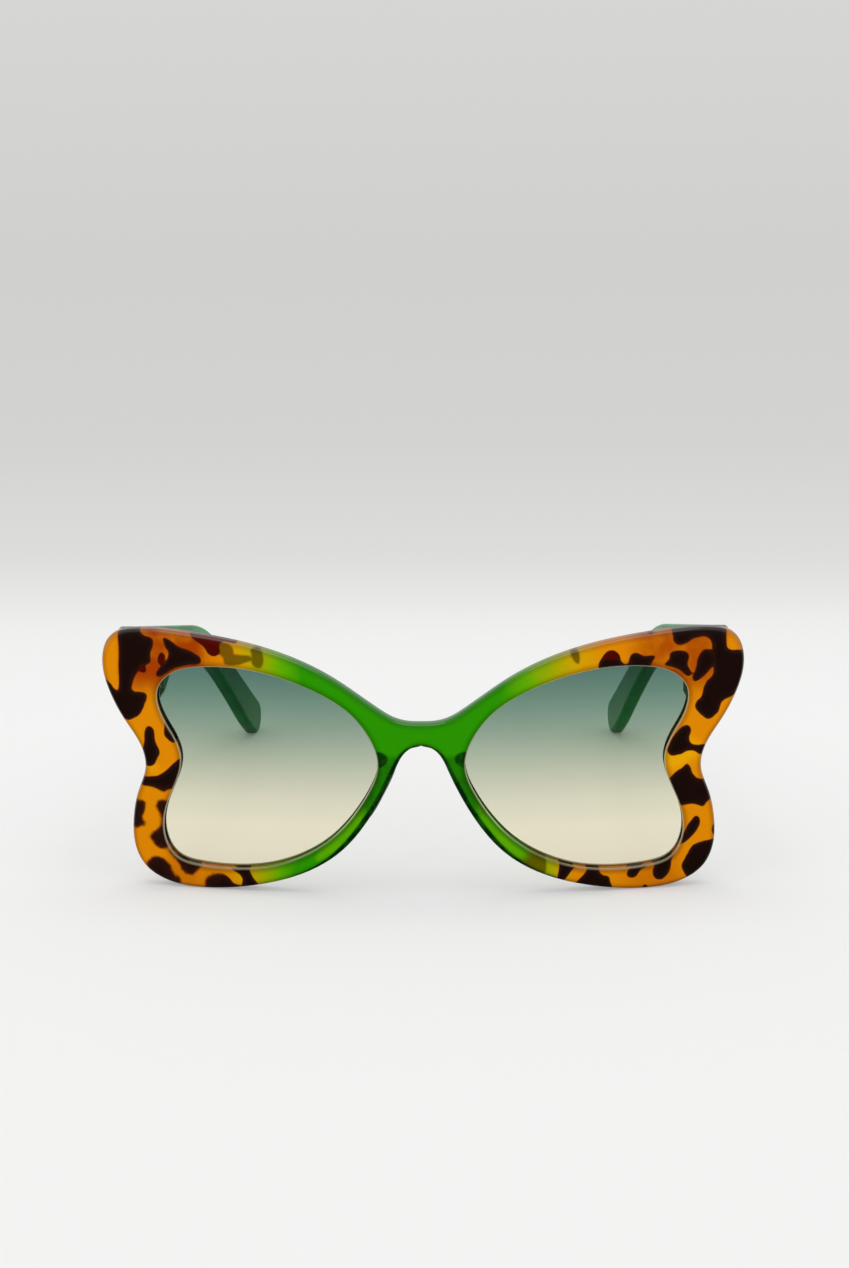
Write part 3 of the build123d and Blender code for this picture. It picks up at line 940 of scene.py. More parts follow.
    def write(self, piece: bpy.types.Object) -> None:
        """Write the pattern to a piece's vertices, as depths in millimetres or shares from 0 to 1.

        Each share is the product of its zones' steps and fades. The spots of the right lobe lose a share of
        their depth, which makes them soft.

        Args:
            piece: The front.
        """
        co = places(piece)
        x, z, plan = co[:, 0], co[:, 2], co[:, [0, 2]]
        out = np.abs(x)
        rust = deepest(self.rust, plan)
        spots = np.maximum(deepest(self.right_spots + self.left_spots, plan), rust)
        soft = fade(z, *self.soft_high) * fade(x, *self.soft_side)
        written(piece, "spots", spots * (1 - self.softness * soft))
        written(piece, "rust", smooth_step(rust, *self.rust_depth))
        low_haze = self.haze_least + (1 - self.haze_least) * smooth_step(x, *self.haze_side)
        written(piece, "haze", deepest(self.haze, plan) * np.where(z < self.haze_low, low_haze, 1.0))
        glow = smooth_step(self.nasal_glow.inside(np.stack([out, z], axis=1)), *self.glow_depth)
        written(piece, "warmth", np.maximum(self.warmth(x, z), self.glow_share * glow))
        outer = smooth_step(out, *self.outer_zone)
        brow = smooth_step(z, *self.burnt_high) * fade(out, *self.burnt_end)
        lobe = self.lobe_burnt * fade(z, *self.lobe_burnt_high) * fade(out, *self.lobe_burnt_end)
        written(piece, "burnt", outer * np.maximum(brow * np.where(x < 0, 1.0, self.left_burnt), lobe))
        written(piece, "gold", outer * band(z, *self.gold_zone))


@dataclass(frozen=True)
class FrontShape:
    """The curved shell that the front is cut from, and its outlines in the front view.

    An outline's points are shares of the front's half width and height, and an opening's those of the lens's.
    """

    lens_width: float = 50.8
    lens_height: float = 48.2
    bridge_gap: float = 20.0
    temporal_rim: float = 13.2
    upper_rim: float = 8.0
    lower_rim: float = 5.4
    radius: float = 300.0
    thickness: float = 4.2
    outline_shares: tuple = (
        (0.000, 0.670), (0.045, 0.6725), (0.092, 0.690), (0.130, 0.718), (0.185, 0.764), (0.264, 0.828),
        (0.399, 0.907), (0.568, 0.964), (0.743, 0.994), (0.890, 1.000), (0.973, 0.968), (1.000, 0.885),
        (0.981, 0.765), (0.932, 0.652), (0.881, 0.552), (0.870, 0.476), (0.896, 0.380), (0.918, 0.262),
        (0.917, 0.160), (0.889, 0.080), (0.817, 0.021), (0.709, 0.000), (0.600, 0.007), (0.493, 0.030),
        (0.358, 0.086), (0.253, 0.170), (0.174, 0.283), (0.122, 0.388), (0.080, 0.495), (0.048, 0.561),
        (0.000, 0.586),
    )
    opening_shares: tuple = (
        (0.000, 0.545), (0.047, 0.693), (0.134, 0.801), (0.244, 0.876), (0.418, 0.951), (0.626, 0.997),
        (0.795, 0.998), (0.921, 0.967), (0.996, 0.886), (0.983, 0.762), (0.922, 0.643), (0.898, 0.550),
        (0.931, 0.417), (0.980, 0.288), (0.990, 0.160), (0.939, 0.048), (0.819, 0.007), (0.656, 0.000),
        (0.497, 0.021), (0.348, 0.079), (0.224, 0.164), (0.124, 0.276), (0.047, 0.400),
    )

    @property
    def half_width(self) -> float:
        """From the middle to the outermost point of a wing."""
        return self.bridge_gap / 2 + self.lens_width + self.temporal_rim

    @property
    def height(self) -> float:
        """From the table to the top of the wings."""
        return self.lower_rim + self.lens_height + self.upper_rim

    @property
    def centre(self) -> np.ndarray:
        """The middle of the left lens opening, about which the grids turn."""
        return np.array([self.bridge_gap / 2 + self.lens_width / 2, self.lower_rim + self.lens_height / 2])

    def y_at(self, x: np.ndarray, z: np.ndarray, depth: np.ndarray) -> np.ndarray:
        """How far back a place lies at a depth under the front's face.

        It is R less the root of (R less the depth) squared less x squared less (z less half the height)
        squared: every depth has a ball about one centre.

        Args:
            x, z: The places in the front view.
            depth: The depths under the face.

        Returns:
            The distances behind the foremost point.
        """
        inner = self.radius - depth
        return self.radius - np.sqrt(inner**2 - x**2 - (z - self.height / 2) ** 2)

    def outline(self, count: int = 2400) -> np.ndarray:
        """The whole front's outline, from the top of the bridge round the left wing first.

        Args:
            count: How many points it has.

        Returns:
            The points, one row each.
        """
        left = [(a * self.half_width, b * self.height) for a, b in self.outline_shares]
        right = [(-x, z) for x, z in reversed(left[1:-1])]
        return cubic_line(left + right, closed=True, count=count)

    def opening(self, count: int = 1600) -> np.ndarray:
        """The left lens opening.

        Args:
            count: How many points its line has.

        Returns:
            The points, one row each.
        """
        inner = self.bridge_gap / 2
        points = [(inner + a * self.lens_width, self.lower_rim + b * self.lens_height)
                  for a, b in self.opening_shares]
        return cubic_line(points, closed=True, count=count)

    def reach(self, line: np.ndarray, angles: np.ndarray) -> np.ndarray:
        """How far a line round the opening's middle lies from it at each angle.

        It is the length of the arm from the middle to the line, taken straight between the line's points.

        Args:
            line: The line's points.
            angles: The angles in radians.

        Returns:
            The distances in millimetres.
        """
        arm = line - self.centre
        turn = np.arctan2(arm[:, 1], arm[:, 0])
        order = np.argsort(turn)
        return np.interp(angles, turn[order], np.hypot(arm[:, 0], arm[:, 1])[order], period=2 * math.pi)

    def at(self, reach: np.ndarray, angles: np.ndarray) -> np.ndarray:
        """The places at a reach and an angle from the opening's middle."""
        return self.centre + np.stack([reach * np.cos(angles), reach * np.sin(angles)], axis=-1)


@dataclass(frozen=True)
class RimShade:
    """Where painted light and shade lie on the front's plastic, in millimetres.

    A zone of two numbers is where a share rises or falls, and one of four where it rises and falls again. The
    nose arch is the part of the outline within arch_size, a half width and a height.
    """

    edge_zone: tuple = (0.0, 1.7)
    arch_size: tuple = (32.0, 37.0)
    arch_least: float = 0.55
    arch_more: float = 0.9
    arch_zone: tuple = (1.0, 9.5, 15.0, 30.0)
    arch_border: tuple = (0.3, 0.15)
    pad_share: float = 0.5
    pad_zone: tuple = (18.0, 22.0, 33.0, 34.6)
    pad_side: tuple = (17.0, 21.0)
    pad_top: Blot = Blot((7.2, 33.4, 8.6, 34.8, 11.0, 35.0, 11.0, 32.6, 9.8, 30.8, 8.0, 31.8))
    pad_top_border: tuple = (-0.25, 0.25)
    wall_depth: tuple = (0.35, 0.6, 6.0, 6.2)
    wall_border: tuple = (0.06, 0.12)
    wall_side: tuple = (14.0, 30.0)
    below_lens: tuple = (0.5, 0.8)
    lip_share: float = 0.4
    lip_depth: tuple = (0.4, 0.6)
    lip_width: tuple = (0.1, 0.3)

    def write(self, piece: bpy.types.Object, shape: FrontShape) -> None:
        """Write the shares from 0 to 1 to a piece's vertices, each the product of its zones' steps and fades.

        "edge" is painted shade that falls off from the outline and the openings. "shade" is painted shade in
        a strip beside the nose arch, wider at the sides than at the top, and where the pads show through the
        nasal rims.
        "wall" is painted shade on an opening's wall, a painted reflection on "underside", its part below the
        lens, and "lip" a painted highlight on the front face's line beside it.

        Args:
            piece: The front.
            shape: The shell that it is cut from.
        """
        co = places(piece)
        x, z = np.abs(co[:, 0]), co[:, 2]
        plan = np.stack([x, z], axis=1)
        depth = co[:, 1] + BACK_SHIFT - shape.y_at(co[:, 0], z, 0.0)
        whole = shape.outline()
        from_opening = distance_to(shape.opening(), plan, closed=True)
        from_rim = distance_to(whole, plan, closed=True)
        written(piece, "edge", fade(np.minimum(from_rim, from_opening), *self.edge_zone))
        arch = whole[(whole[:, 0] >= 0) & (whole < self.arch_size).all(axis=1)]
        away = distance_to(arch, plan, closed=False)
        width = self.arch_least + self.arch_more * band(x, *self.arch_zone)
        strip = fade(away, width - self.arch_border[0], width + self.arch_border[1])
        pads = self.pad_share * band(z, *self.pad_zone) * fade(x, *self.pad_side)
        tops = smooth_step(self.pad_top.inside(plan), *self.pad_top_border)
        written(piece, "shade", np.max([strip, pads, tops], axis=0))
        on_wall = fade(from_opening, *self.wall_border) * band(depth, *self.wall_depth)
        written(piece, "wall", on_wall * smooth_step(x, *self.wall_side))
        turn = np.arctan2(z - shape.centre[1], x - shape.centre[0])
        written(piece, "underside", smooth_step(-np.sin(turn), *self.below_lens))
        on_face = fade(depth, *self.lip_depth) * fade(from_opening, *self.lip_width)
        written(piece, "lip", self.lip_share * on_face)


@dataclass
class Front:
    """The moulded front: rims, bridge and end pieces in one piece of tortoise plastic."""

    shape: FrontShape
    finish: bpy.types.Material
    pattern: TortoisePattern = TortoisePattern()
    shade: RimShade = RimShade()
    rim_round: float = 1.1
    opening_round: float = 0.4
    lens_recess: float = 1.1
    lens_thickness: float = 2.0
    groove_depth: float = 0.85
    groove_bevel: float = 0.5
    clearance: float = 0.05
    columns: int = 480
    outer_rows: int = 7
    middle_rows: int = 20
    inner_rows: int = 5
    seam_points: int = 200
    seam_columns: int = 6
    fine_turns: int = 9000
    least_turn: float = 2e-4
    end_piece_width: float = 10.2
    end_piece_round: float = 1.2
    end_piece_edge: float = 0.35
    end_piece_edge_shares: tuple = (0.0, 0.3, 0.6, 1.0)
    end_piece_seat: float = 0.8
    end_piece_depth: float = 2.4
    temple_outer_x: float = 71.1
    temple_top_z: float = 60.6
    temple_bottom_z: float = 44.0
    leaf_thickness: float = 0.9
    leaf_outer_x: float = 65.6
    leaf_width: float = 3.8
    pocket_round: float = 0.5
    pocket_beyond: float = 1.0

    @property
    def butt_y(self) -> float:
        """Where the flat lies that the temple butts on."""
        back = self.shape.y_at(self.temple_outer_x, self.temple_top_z, self.shape.thickness)
        return float(back) + self.end_piece_depth

    def half_boundary(self) -> tuple:
        """The left half's outer line and the heights at which it meets the middle.

        Returns:
            The closed line, the height of the nose arch and the height of the bridge's top.
        """
        whole = self.shape.outline()
        top = whole[0, 1]
        arch = self.shape.outline_shares[-1][1] * self.shape.height
        seam = np.stack([np.zeros(self.seam_points), np.linspace(arch, top, self.seam_points)], axis=1)
        return np.vstack([whole[whole[:, 0] > 0], seam]), arch, top

    def column_angles(self, boundary: np.ndarray, arch: float, top: float) -> np.ndarray:
        """The angles of the grid's columns.

        They are evenly spaced along the mean of the outer and the inner line's lengths, with more columns
        on the middle plane, where the rims' rounds end. Of the even ones, those that crowd another are left
        out.

        Args:
            boundary: The left half's outer line.
            arch: The height of the nose arch.
            top: The height of the bridge's top.

        Returns:
            The angles in radians, rising.
        """
        fine = np.linspace(-math.pi, math.pi, self.fine_turns)
        lengths = []
        for line in (boundary, self.shape.opening()):
            track = self.shape.at(self.shape.reach(line, fine), fine)
            steps = np.linalg.norm(np.diff(track, axis=0), axis=1)
            lengths.append(np.concatenate([[0], np.cumsum(steps)]) / steps.sum())
        even = np.interp(np.linspace(0, 2, self.columns, endpoint=False), lengths[0] + lengths[1], fine)
        steps = round_steps(self.rim_round, self.seam_columns)
        heights = np.concatenate([arch + steps, top - steps])
        seam = np.arctan2(heights - self.shape.centre[1], -self.shape.centre[0])
        angles = np.unique(np.concatenate([even, seam]))
        crowded = np.concatenate([[False], np.diff(angles) < self.least_turn]) & ~np.isin(angles, seam)
        return angles[~crowded]

    def section(self, length: np.ndarray) -> np.ndarray:
        """Distances from the outer line at which a face has its rows.

        Args:
            length: Each column's length from the outer line to the opening.

        Returns:
            An array of columns by rows.
        """
        outer = round_steps(self.rim_round, self.outer_rows)
        inner = round_steps(self.opening_round, self.inner_rows)
        middle = np.linspace(0, 1, self.middle_rows + 2)[1:-1]
        free = length[:, None] - self.rim_round - self.opening_round
        return np.concatenate([np.broadcast_to(outer, (len(length), len(outer))),
                               self.rim_round + free * middle, length[:, None] - inner[::-1]], axis=1)

    def groove(self) -> list:
        """The section of the inner wall, whose groove holds the lens.

        Returns:
            Pairs of a distance into the rim and a depth under the face, from front to back.
        """
        near = self.lens_recess - self.clearance
        far = self.lens_recess + self.lens_thickness + self.clearance
        mouth = self.groove_depth - self.groove_bevel
        return [(0.0, near), (mouth, near), (self.groove_depth, near + self.groove_bevel),
                (self.groove_depth, far - self.groove_bevel), (mouth, far), (0.0, far)]

    def drop(self, plan: np.ndarray, on_middle: np.ndarray) -> np.ndarray:
        """How far the rounds sink a face: by the distance to the outline and by that to the opening.

        Args:
            plan: The face's places in the front view, columns by rows.
            on_middle: Which columns end on the middle plane, where no round is.

        Returns:
            The drops, columns by rows.
        """
        from_rim = distance_to(self.shape.outline(), plan, closed=True)
        from_opening = distance_to(self.shape.opening(), plan, closed=True)
        from_rim[~on_middle, 0] = 0.0
        from_opening[:, -1] = 0.0
        return sunk_by_round(from_rim, self.rim_round) + sunk_by_round(from_opening, self.opening_round)

    def left_half(self) -> tuple:
        """The left half's vertices and faces, open at the middle plane.

        A column runs round the section: the front face from the outer line in, the grooved inner wall, the
        back face out again, and the outer wall. A place is the reach less the row's distance, at the
        column's angle and the row's depth.

        Returns:
            The vertices, one row each, and the faces as rows of four vertex numbers.
        """
        boundary, arch, top = self.half_boundary()
        angles = self.column_angles(boundary, arch, top)
        inner = self.shape.reach(self.shape.opening(), angles)
        outer = self.shape.reach(boundary, angles)
        middle_x, middle_z = self.shape.centre
        first, last = (math.atan2(z - middle_z, -middle_x) for z in (top, arch))
        on_middle = (angles >= first - TINY) & (angles <= last + TINY)
        outer = np.where(on_middle, -middle_x / np.cos(angles), outer)
        plan = self.shape.at(outer[:, None] - self.section(outer - inner), angles[:, None])
        plan[on_middle, 0, 0] = 0.0
        drop = self.drop(plan, on_middle)
        wall_plan = np.stack([self.shape.at(inner + into, angles) for into, _ in self.groove()], axis=1)
        wall_depth = np.tile([depth for _, depth in self.groove()], (len(angles), 1))
        half_depth = np.full((len(angles), 1), self.shape.thickness / 2)
        plans = np.concatenate([plan, wall_plan, plan[:, ::-1], plan[:, :1]], axis=1)
        depths = np.concatenate([drop, wall_depth, self.shape.thickness - drop[:, ::-1], half_depth], axis=1)
        x, z = plans[..., 0], plans[..., 1]
        points = np.stack([x, self.shape.y_at(x, z, depths), z], axis=-1)
        faces = grid_faces(*x.shape, columns_close=True, rows_close=True)
        kept = np.ones(faces.shape[:2], bool)
        kept[on_middle & np.roll(on_middle, -1), -2:] = False
        return points.reshape(-1, 3), faces[kept]

    def end_piece(self, side: Side) -> bpy.types.Object:
        """The block behind a top corner, a round-cornered bar from inside the shell to the temple's flat.

        At the flat its edge is a quarter round: r times one less the root of 1 less (1 less the share)
        squared.

        Args:
            side: The wearer's side.

        Returns:
            The block.
        """
        edge = self.end_piece_edge
        levels = [(0.0, None)] + [(edge * share, self.butt_y - edge * (1 - math.sqrt(1 - (1 - share) ** 2)))
                                  for share in self.end_piece_edge_shares]
        rings = []
        for inset, y in levels:
            low = (self.temple_outer_x - self.end_piece_width + inset, self.temple_bottom_z + inset)
            high = (self.temple_outer_x - inset, self.temple_top_z - inset)
            loop = rounded_rectangle(low, high, self.end_piece_round - inset)
            if y is None:
                y = self.shape.y_at(loop[:, 0], loop[:, 1], self.shape.thickness - self.end_piece_seat)
            across = loop[:, 0] * side.value
            rings.append(np.stack([across, np.broadcast_to(y, len(loop)), loop[:, 1]], axis=1))
        return bar(f"end_piece_{side.label}", np.stack(rings, axis=1))

    def leaf_pocket(self, side: Side) -> bpy.types.Object:
        """The shallow pocket in the end piece's flat that the front leaf lies in.

        Args:
            side: The wearer's side.

        Returns:
            The bar that is cut away.
        """
        low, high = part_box(f"{side.label}_front_leaf")
        inner = (self.leaf_outer_x - self.leaf_width - self.clearance, low.z / MM - self.clearance)
        outer = (self.leaf_outer_x + self.clearance, high.z / MM + self.clearance)
        loop = rounded_rectangle(inner, outer, self.pocket_round)
        floor = self.butt_y - self.leaf_thickness - self.clearance
        rings = [np.stack([loop[:, 0] * side.value, np.full(len(loop), y), loop[:, 1]], axis=1)
                 for y in (floor, self.butt_y + self.pocket_beyond)]
        return bar(f"leaf_pocket_{side.label}", np.stack(rings, axis=1))

    def build(self) -> bpy.types.Object:
        """Make the whole front with its end pieces, the right half as the left one's mirror image.

        Returns:
            The front.
        """
        left, faces = self.left_half()
        points = np.vstack([left, left * [-1, 1, 1]]) - [0, BACK_SHIFT, 0]
        piece = solid("tortoise_front", points, np.vstack([faces, faces[:, ::-1] + len(left)]).tolist())
        for side in Side:
            fitted(piece, self.end_piece(side), Fit.FUSE)
            fitted(piece, self.leaf_pocket(side), Fit.CUT)
        finished(piece)
        return piece

    def dress(self) -> None:
        """Build the front, write its pattern and shade, and place it in the model."""
        piece = self.build()
        self.pattern.write(piece)
        self.shade.write(piece, self.shape)
        placed(piece, "front", self.finish, "front_frame")


@dataclass
class Lens:
    """One lens: a curved disc with a bevelled edge that lies in the rim's groove."""

    shape: FrontShape
    finish: bpy.types.Material
    recess: float = 1.1
    thickness: float = 2.0
    into_groove: float = 0.8
    bevel: float = 0.5
    columns: int = 220
    rows: int = 12

    def build(self, side: Side) -> bpy.types.Object:
        """Make the lens of a side.

        A column runs from the middle of the near face out, over the bevelled edge and back to the middle of
        the far face. A place is a share of the reach to the opening's line and what lies in the groove.

        Args:
            side: The wearer's side.

        Returns:
            The lens.
        """
        angles = np.linspace(-math.pi, math.pi, self.columns, endpoint=False)
        edge = self.shape.reach(self.shape.opening(), angles) + self.into_groove
        share = np.linspace(0, 1, self.rows)
        face = (edge - self.bevel)[:, None] * share
        reach = np.concatenate([face, edge[:, None], edge[:, None], face[:, ::-1]], axis=1)
        near, far = self.recess, self.recess + self.thickness
        depth = np.concatenate([np.full(self.rows, near), [near + self.bevel, far - self.bevel],
                                np.full(self.rows, far)])
        plan = self.shape.at(reach, angles[:, None])
        x, z = plan[..., 0], plan[..., 1]
        points = np.stack([x * side.value, self.shape.y_at(x, z, depth) - BACK_SHIFT, z], axis=-1)
        faces = grid_faces(*x.shape, columns_close=True, rows_close=False).reshape(-1, 4)
        piece = solid(f"{side.label}_gradient_lens", points, faces.tolist())
        finished(piece)
        return piece

    def dress(self, side: Side) -> None:
        """Build the lens of a side and place it in the model."""
        placed(self.build(side), "front", self.finish, f"{side.label}_lens")


@dataclass
class NosePad:
    """A pad moulded behind a nasal rim: a leaning fin that narrows and turns outwards towards its crest."""

    shape: FrontShape
    finish: bpy.types.Material
    length: float = 17.0
    base_width: float = 3.2
    crest_length: float = 13.0
    crest_width: float = 2.0
    height: float = 5.8
    flare: float = 0.1
    lean: float = 27.0
    crest_round: float = 0.7
    from_centre: float = 10.1
    middle_height: float = 24.5
    seat: float = 0.25
    oval_power: float = 0.72
    columns: int = 72
    rows: int = 14
    round_rows: int = 6

    def build(self, side: Side) -> bpy.types.Object:
        """Make the pad of a side.

        Each level is a long oval, whose two coordinates are its half length times the cosine and its half
        width times the sine, each to the oval's power with the sign kept. Length and width run evenly from
        the foot's to the crest's, and the top closes over a quarter round.

        Args:
            side: The wearer's side.

        Returns:
            The pad.
        """
        turn = np.linspace(0, 2 * math.pi, self.columns, endpoint=False)[:, None]
        rise = np.linspace(0, 1, self.rows)
        over = np.linspace(0, math.pi / 2, self.round_rows)[1:]
        level = np.concatenate([rise * (1 - self.crest_round / self.height),
                                1 - self.crest_round / self.height * (1 - np.sin(over)), [1.0]])
        inset = np.concatenate([np.zeros(self.rows), self.crest_round * (1 - np.cos(over)), [np.inf]])
        half_length = self.length / 2 + (self.crest_length - self.length) / 2 * level
        half_width = self.base_width / 2 + (self.crest_width - self.base_width) / 2 * level
        ovals = [np.sign(wave) * np.abs(wave) ** self.oval_power for wave in (np.cos(turn), np.sin(turn))]
        along = np.maximum(half_length - inset, 0) * ovals[0]
        across = np.maximum(half_width - inset, 0) * ovals[1] + self.flare * level
        lean = math.radians(self.lean)
        x = self.from_centre + along * math.sin(lean) + across * math.cos(lean)
        z = self.middle_height - along * math.cos(lean) + across * math.sin(lean)
        foot = self.shape.y_at(x, z, self.shape.thickness - self.seat)
        y = foot * (1 - level) + (self.shape.thickness + self.height) * level
        points = np.stack([x * side.value, y - BACK_SHIFT, z], axis=-1)
        faces = grid_faces(*x.shape, columns_close=True, rows_close=False).reshape(-1, 4).tolist()
        faces.append([column * len(level) for column in range(self.columns)])
        piece = solid(f"{side.label}_saddle_pad", points, faces)
        finished(piece)
        return piece

    def dress(self, side: Side) -> None:
        """Build the pad of a side and place it in the model."""
        placed(self.build(side), "front", self.finish, f"{side.label}_nose_pad")


@dataclass
class Temple:
    """A temple: a broad blade behind the hinge, a slim arm, the ear bend and a flat round-ended tip.

    Each of width_shares is a share of the upper edge's length, and how much of the blade's and of the tip's
    extra width the arm has there.
    """

    finish: bpy.types.Material
    butt_y: float
    butt_gap: float = 0.2
    top_z: float = 60.6
    butt_width: float = 16.6
    blade_width: float = 18.0
    arm_width: float = 8.2
    tip_width: float = 10.4
    slope: float = 11.6
    straight_run: float = 55.5
    bend_radius: float = 85.0
    bend_angle: float = 20.0
    outer_x: float = 71.1
    thickness: float = 4.4
    tip_thickness: float = 3.6
    toe_in: float = 5.1
    bow_radius: float = 5000.0
    edge_round: float = 1.1
    clearance: float = 0.05
    leaf_setback: float = 0.6
    leaf_length: float = 11.0
    leaf_thickness: float = 0.9
    pocket_round: float = 0.5
    pocket_beyond: float = 4.0
    columns: int = 220
    crowding: float = 1.15
    cap_columns: int = 18
    edge_rows: int = 7
    middle_rows: int = 14
    fine_points: int = 3000
    width_shares: tuple = (
        (0.050, 0.920, 0.000), (0.120, 1.000, 0.000), (0.178, 0.970, 0.000), (0.208, 0.700, 0.000),
        (0.238, 0.320, 0.000), (0.268, 0.120, 0.000), (0.310, 0.040, 0.000), (0.440, 0.020, 0.000),
        (0.600, 0.000, 0.000), (0.740, 0.000, 0.150), (0.850, 0.000, 0.600), (0.940, 0.000, 1.000),
    )

    @property
    def start_y(self) -> float:
        """Where the temple's butt lies."""
        return self.butt_y + self.butt_gap

    @property
    def bend_length(self) -> float:
        """The length of the ear bend along the upper edge."""
        return self.bend_radius * math.radians(self.bend_angle)

    @property
    def edge_length(self) -> float:
        """The length of the upper edge up to the round of the tip, which touches the table.

        The last run is the height left after the bend, less that of the tip's round, over the sine of its
        slope.

        Returns:
            The length in millimetres.
        """
        slope, tip = math.radians(self.slope), math.radians(self.slope + self.bend_angle)
        left = (self.top_z - self.straight_run * math.sin(slope)
                - self.bend_radius * (math.cos(slope) - math.cos(tip)))
        last_run = (left - self.tip_width / 2 * (1 + math.cos(tip))) / math.sin(tip)
        return self.straight_run + self.bend_length + last_run

    def below(self, length: np.ndarray, width: np.ndarray) -> np.ndarray:
        """Places square below the upper edge.

        The upper edge is a straight run at the slope, an arc, and a straight run at the slope plus the bend.

        Args:
            length: How far along the upper edge.
            width: How far below it.

        Returns:
            The places as (y, z).
        """
        slope = math.radians(self.slope)
        turned = np.clip(length - self.straight_run, 0, self.bend_length) / self.bend_radius
        straight = np.minimum(length, self.straight_run)
        last = np.maximum(length - self.straight_run - self.bend_length, 0)
        tip = slope + math.radians(self.bend_angle)
        y = (self.start_y + straight * math.cos(slope)
             + self.bend_radius * (np.sin(slope + turned) - math.sin(slope)) + last * math.cos(tip))
        z = (self.top_z - straight * math.sin(slope)
             - self.bend_radius * (math.cos(slope) - np.cos(slope + turned)) - last * math.sin(tip))
        return np.stack([y - width * np.sin(slope + turned), z - width * np.cos(slope + turned)], axis=-1)

    def edges(self) -> tuple:
        """The upper and the lower edge in side view, point against point from the butt to the tip's end.

        The lower edge is a smooth line through the places that the width shares give. Round the tip both
        edges follow a half circle, at the cosine and the sine of the turn about its middle.

        Returns:
            The two edges as rows of (y, z).
        """
        spread = np.linspace(0, 1, self.columns) ** self.crowding
        upper = self.below(spread * self.edge_length, np.zeros(self.columns))
        shares = np.array(self.width_shares)
        widths = (self.arm_width + shares[:, 1] * (self.blade_width - self.arm_width)
                  + shares[:, 2] * (self.tip_width - self.arm_width))
        knots = np.vstack([[[self.start_y, self.top_z - self.butt_width]],
                           self.below(shares[:, 0] * self.edge_length, widths),
                           self.below(np.array([self.edge_length]), np.array([self.tip_width]))])
        fine = cubic_line(knots, closed=False, count=self.fine_points)
        gone = np.concatenate([[0], np.cumsum(np.linalg.norm(np.diff(fine, axis=0), axis=1))])
        gone_at_knots = [gone[np.argmin(np.linalg.norm(fine - knot, axis=1))] for knot in knots]
        along = np.interp(spread, np.concatenate([[0], shares[:, 0], [1]]), gone_at_knots)
        lower = np.stack([np.interp(along, gone, fine[:, axis]) for axis in (0, 1)], axis=1)
        middle = (upper[-1] + lower[-1]) / 2
        arm = (upper[-1] - lower[-1]) / 2
        ahead = np.array([arm[1], -arm[0]])
        turn = np.linspace(0, math.pi / 2, self.cap_columns + 1)[1:, None]
        return (np.vstack([upper, middle + arm * np.cos(turn) + ahead * np.sin(turn)]),
                np.vstack([lower, middle - arm * np.cos(turn) + ahead * np.sin(turn)]))

    def outer_face(self, y: np.ndarray) -> np.ndarray:
        """The outer face's x, less the run times the toe-in's tangent and its square over two radii."""
        run = y - self.start_y
        return self.outer_x - run * math.tan(math.radians(self.toe_in)) - run**2 / (2 * self.bow_radius)

    def build(self, side: Side) -> bpy.types.Object:
        """Make the temple of a side, with the pocket for its hinge leaf.

        Across the blade a place is a share of the way from the upper to the lower edge. The outer face lies
        at the outer line less the edge's round, and the inner face a thickness further in.

        Args:
            side: The wearer's side.

        Returns:
            The temple.
        """
        upper, lower = self.edges()
        widths = np.linalg.norm(upper - lower, axis=1)[:, None]
        most = np.minimum(self.edge_round, widths / 2)
        near = round_steps(self.edge_round, self.edge_rows) / self.edge_round * most
        middle = most + (widths - 2 * most) * np.linspace(0, 1, self.middle_rows + 2)[1:-1]
        rows = np.concatenate([near, middle, widths - near[:, ::-1]], axis=1)
        share = (rows / np.maximum(widths, TINY))[..., None]
        plan = upper[:, None] * (1 - share) + lower[:, None] * share
        away = distance_to(np.vstack([upper, lower[-2::-1]]), plan, closed=False)
        away[:, [0, -1]] = 0.0
        drop = sunk_by_round(away, self.edge_round)
        y, z = plan[..., 0], plan[..., 1]
        outer = self.outer_face(y)
        thickness = self.thickness + (self.tip_thickness - self.thickness) * (y - self.start_y) / y.max()
        x = np.concatenate([outer - drop, (outer - thickness + drop)[:, ::-1]], axis=1)
        y, z = (np.concatenate([value, value[:, ::-1]], axis=1) for value in (y - BACK_SHIFT, z))
        points = np.stack([x * side.value, y, z], axis=-1)
        faces = grid_faces(*x.shape, columns_close=False, rows_close=True).reshape(-1, 4).tolist()
        last = x.shape[1] - 1
        faces += [[row, row + 1, last - row - 1, last - row] for row in range(rows.shape[1] - 1)]
        piece = solid(f"{side.label}_temple_arm", points, faces)
        fitted(piece, self.leaf_pocket(side), Fit.CUT)
        finished(piece)
        return piece

    def leaf_pocket(self, side: Side) -> bpy.types.Object:
        """The pocket in the inner face that the temple leaf lies in.

        Args:
            side: The wearer's side.

        Returns:
            The bar that is cut away.
        """
        low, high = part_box(f"{side.label}_temple_leaf")
        start = self.start_y + self.leaf_setback
        loop = rounded_rectangle((start - self.clearance, low.z / MM - self.clearance),
                                 (start + self.leaf_length + self.clearance, high.z / MM + self.clearance),
                                 self.pocket_round)
        floor = self.outer_x - self.thickness + self.leaf_thickness + self.clearance
        rings = [np.stack([np.full(len(loop), x * side.value), loop[:, 0] - BACK_SHIFT, loop[:, 1]], axis=1)
                 for x in (floor, floor - self.pocket_beyond)]
        faces = grid_faces(len(loop), 2, columns_close=True, rows_close=False).reshape(-1, 4).tolist()
        faces += [list(range(end, 2 * len(loop), 2)) for end in (0, 1)]
        return solid(f"temple_pocket_{side.label}", np.stack(rings, axis=1), faces)

    def dress(self, side: Side) -> None:
        """Build the temple of a side and place it in the model."""
        placed(self.build(side), f"{side.label}_arm", self.finish, f"{side.label}_temple")


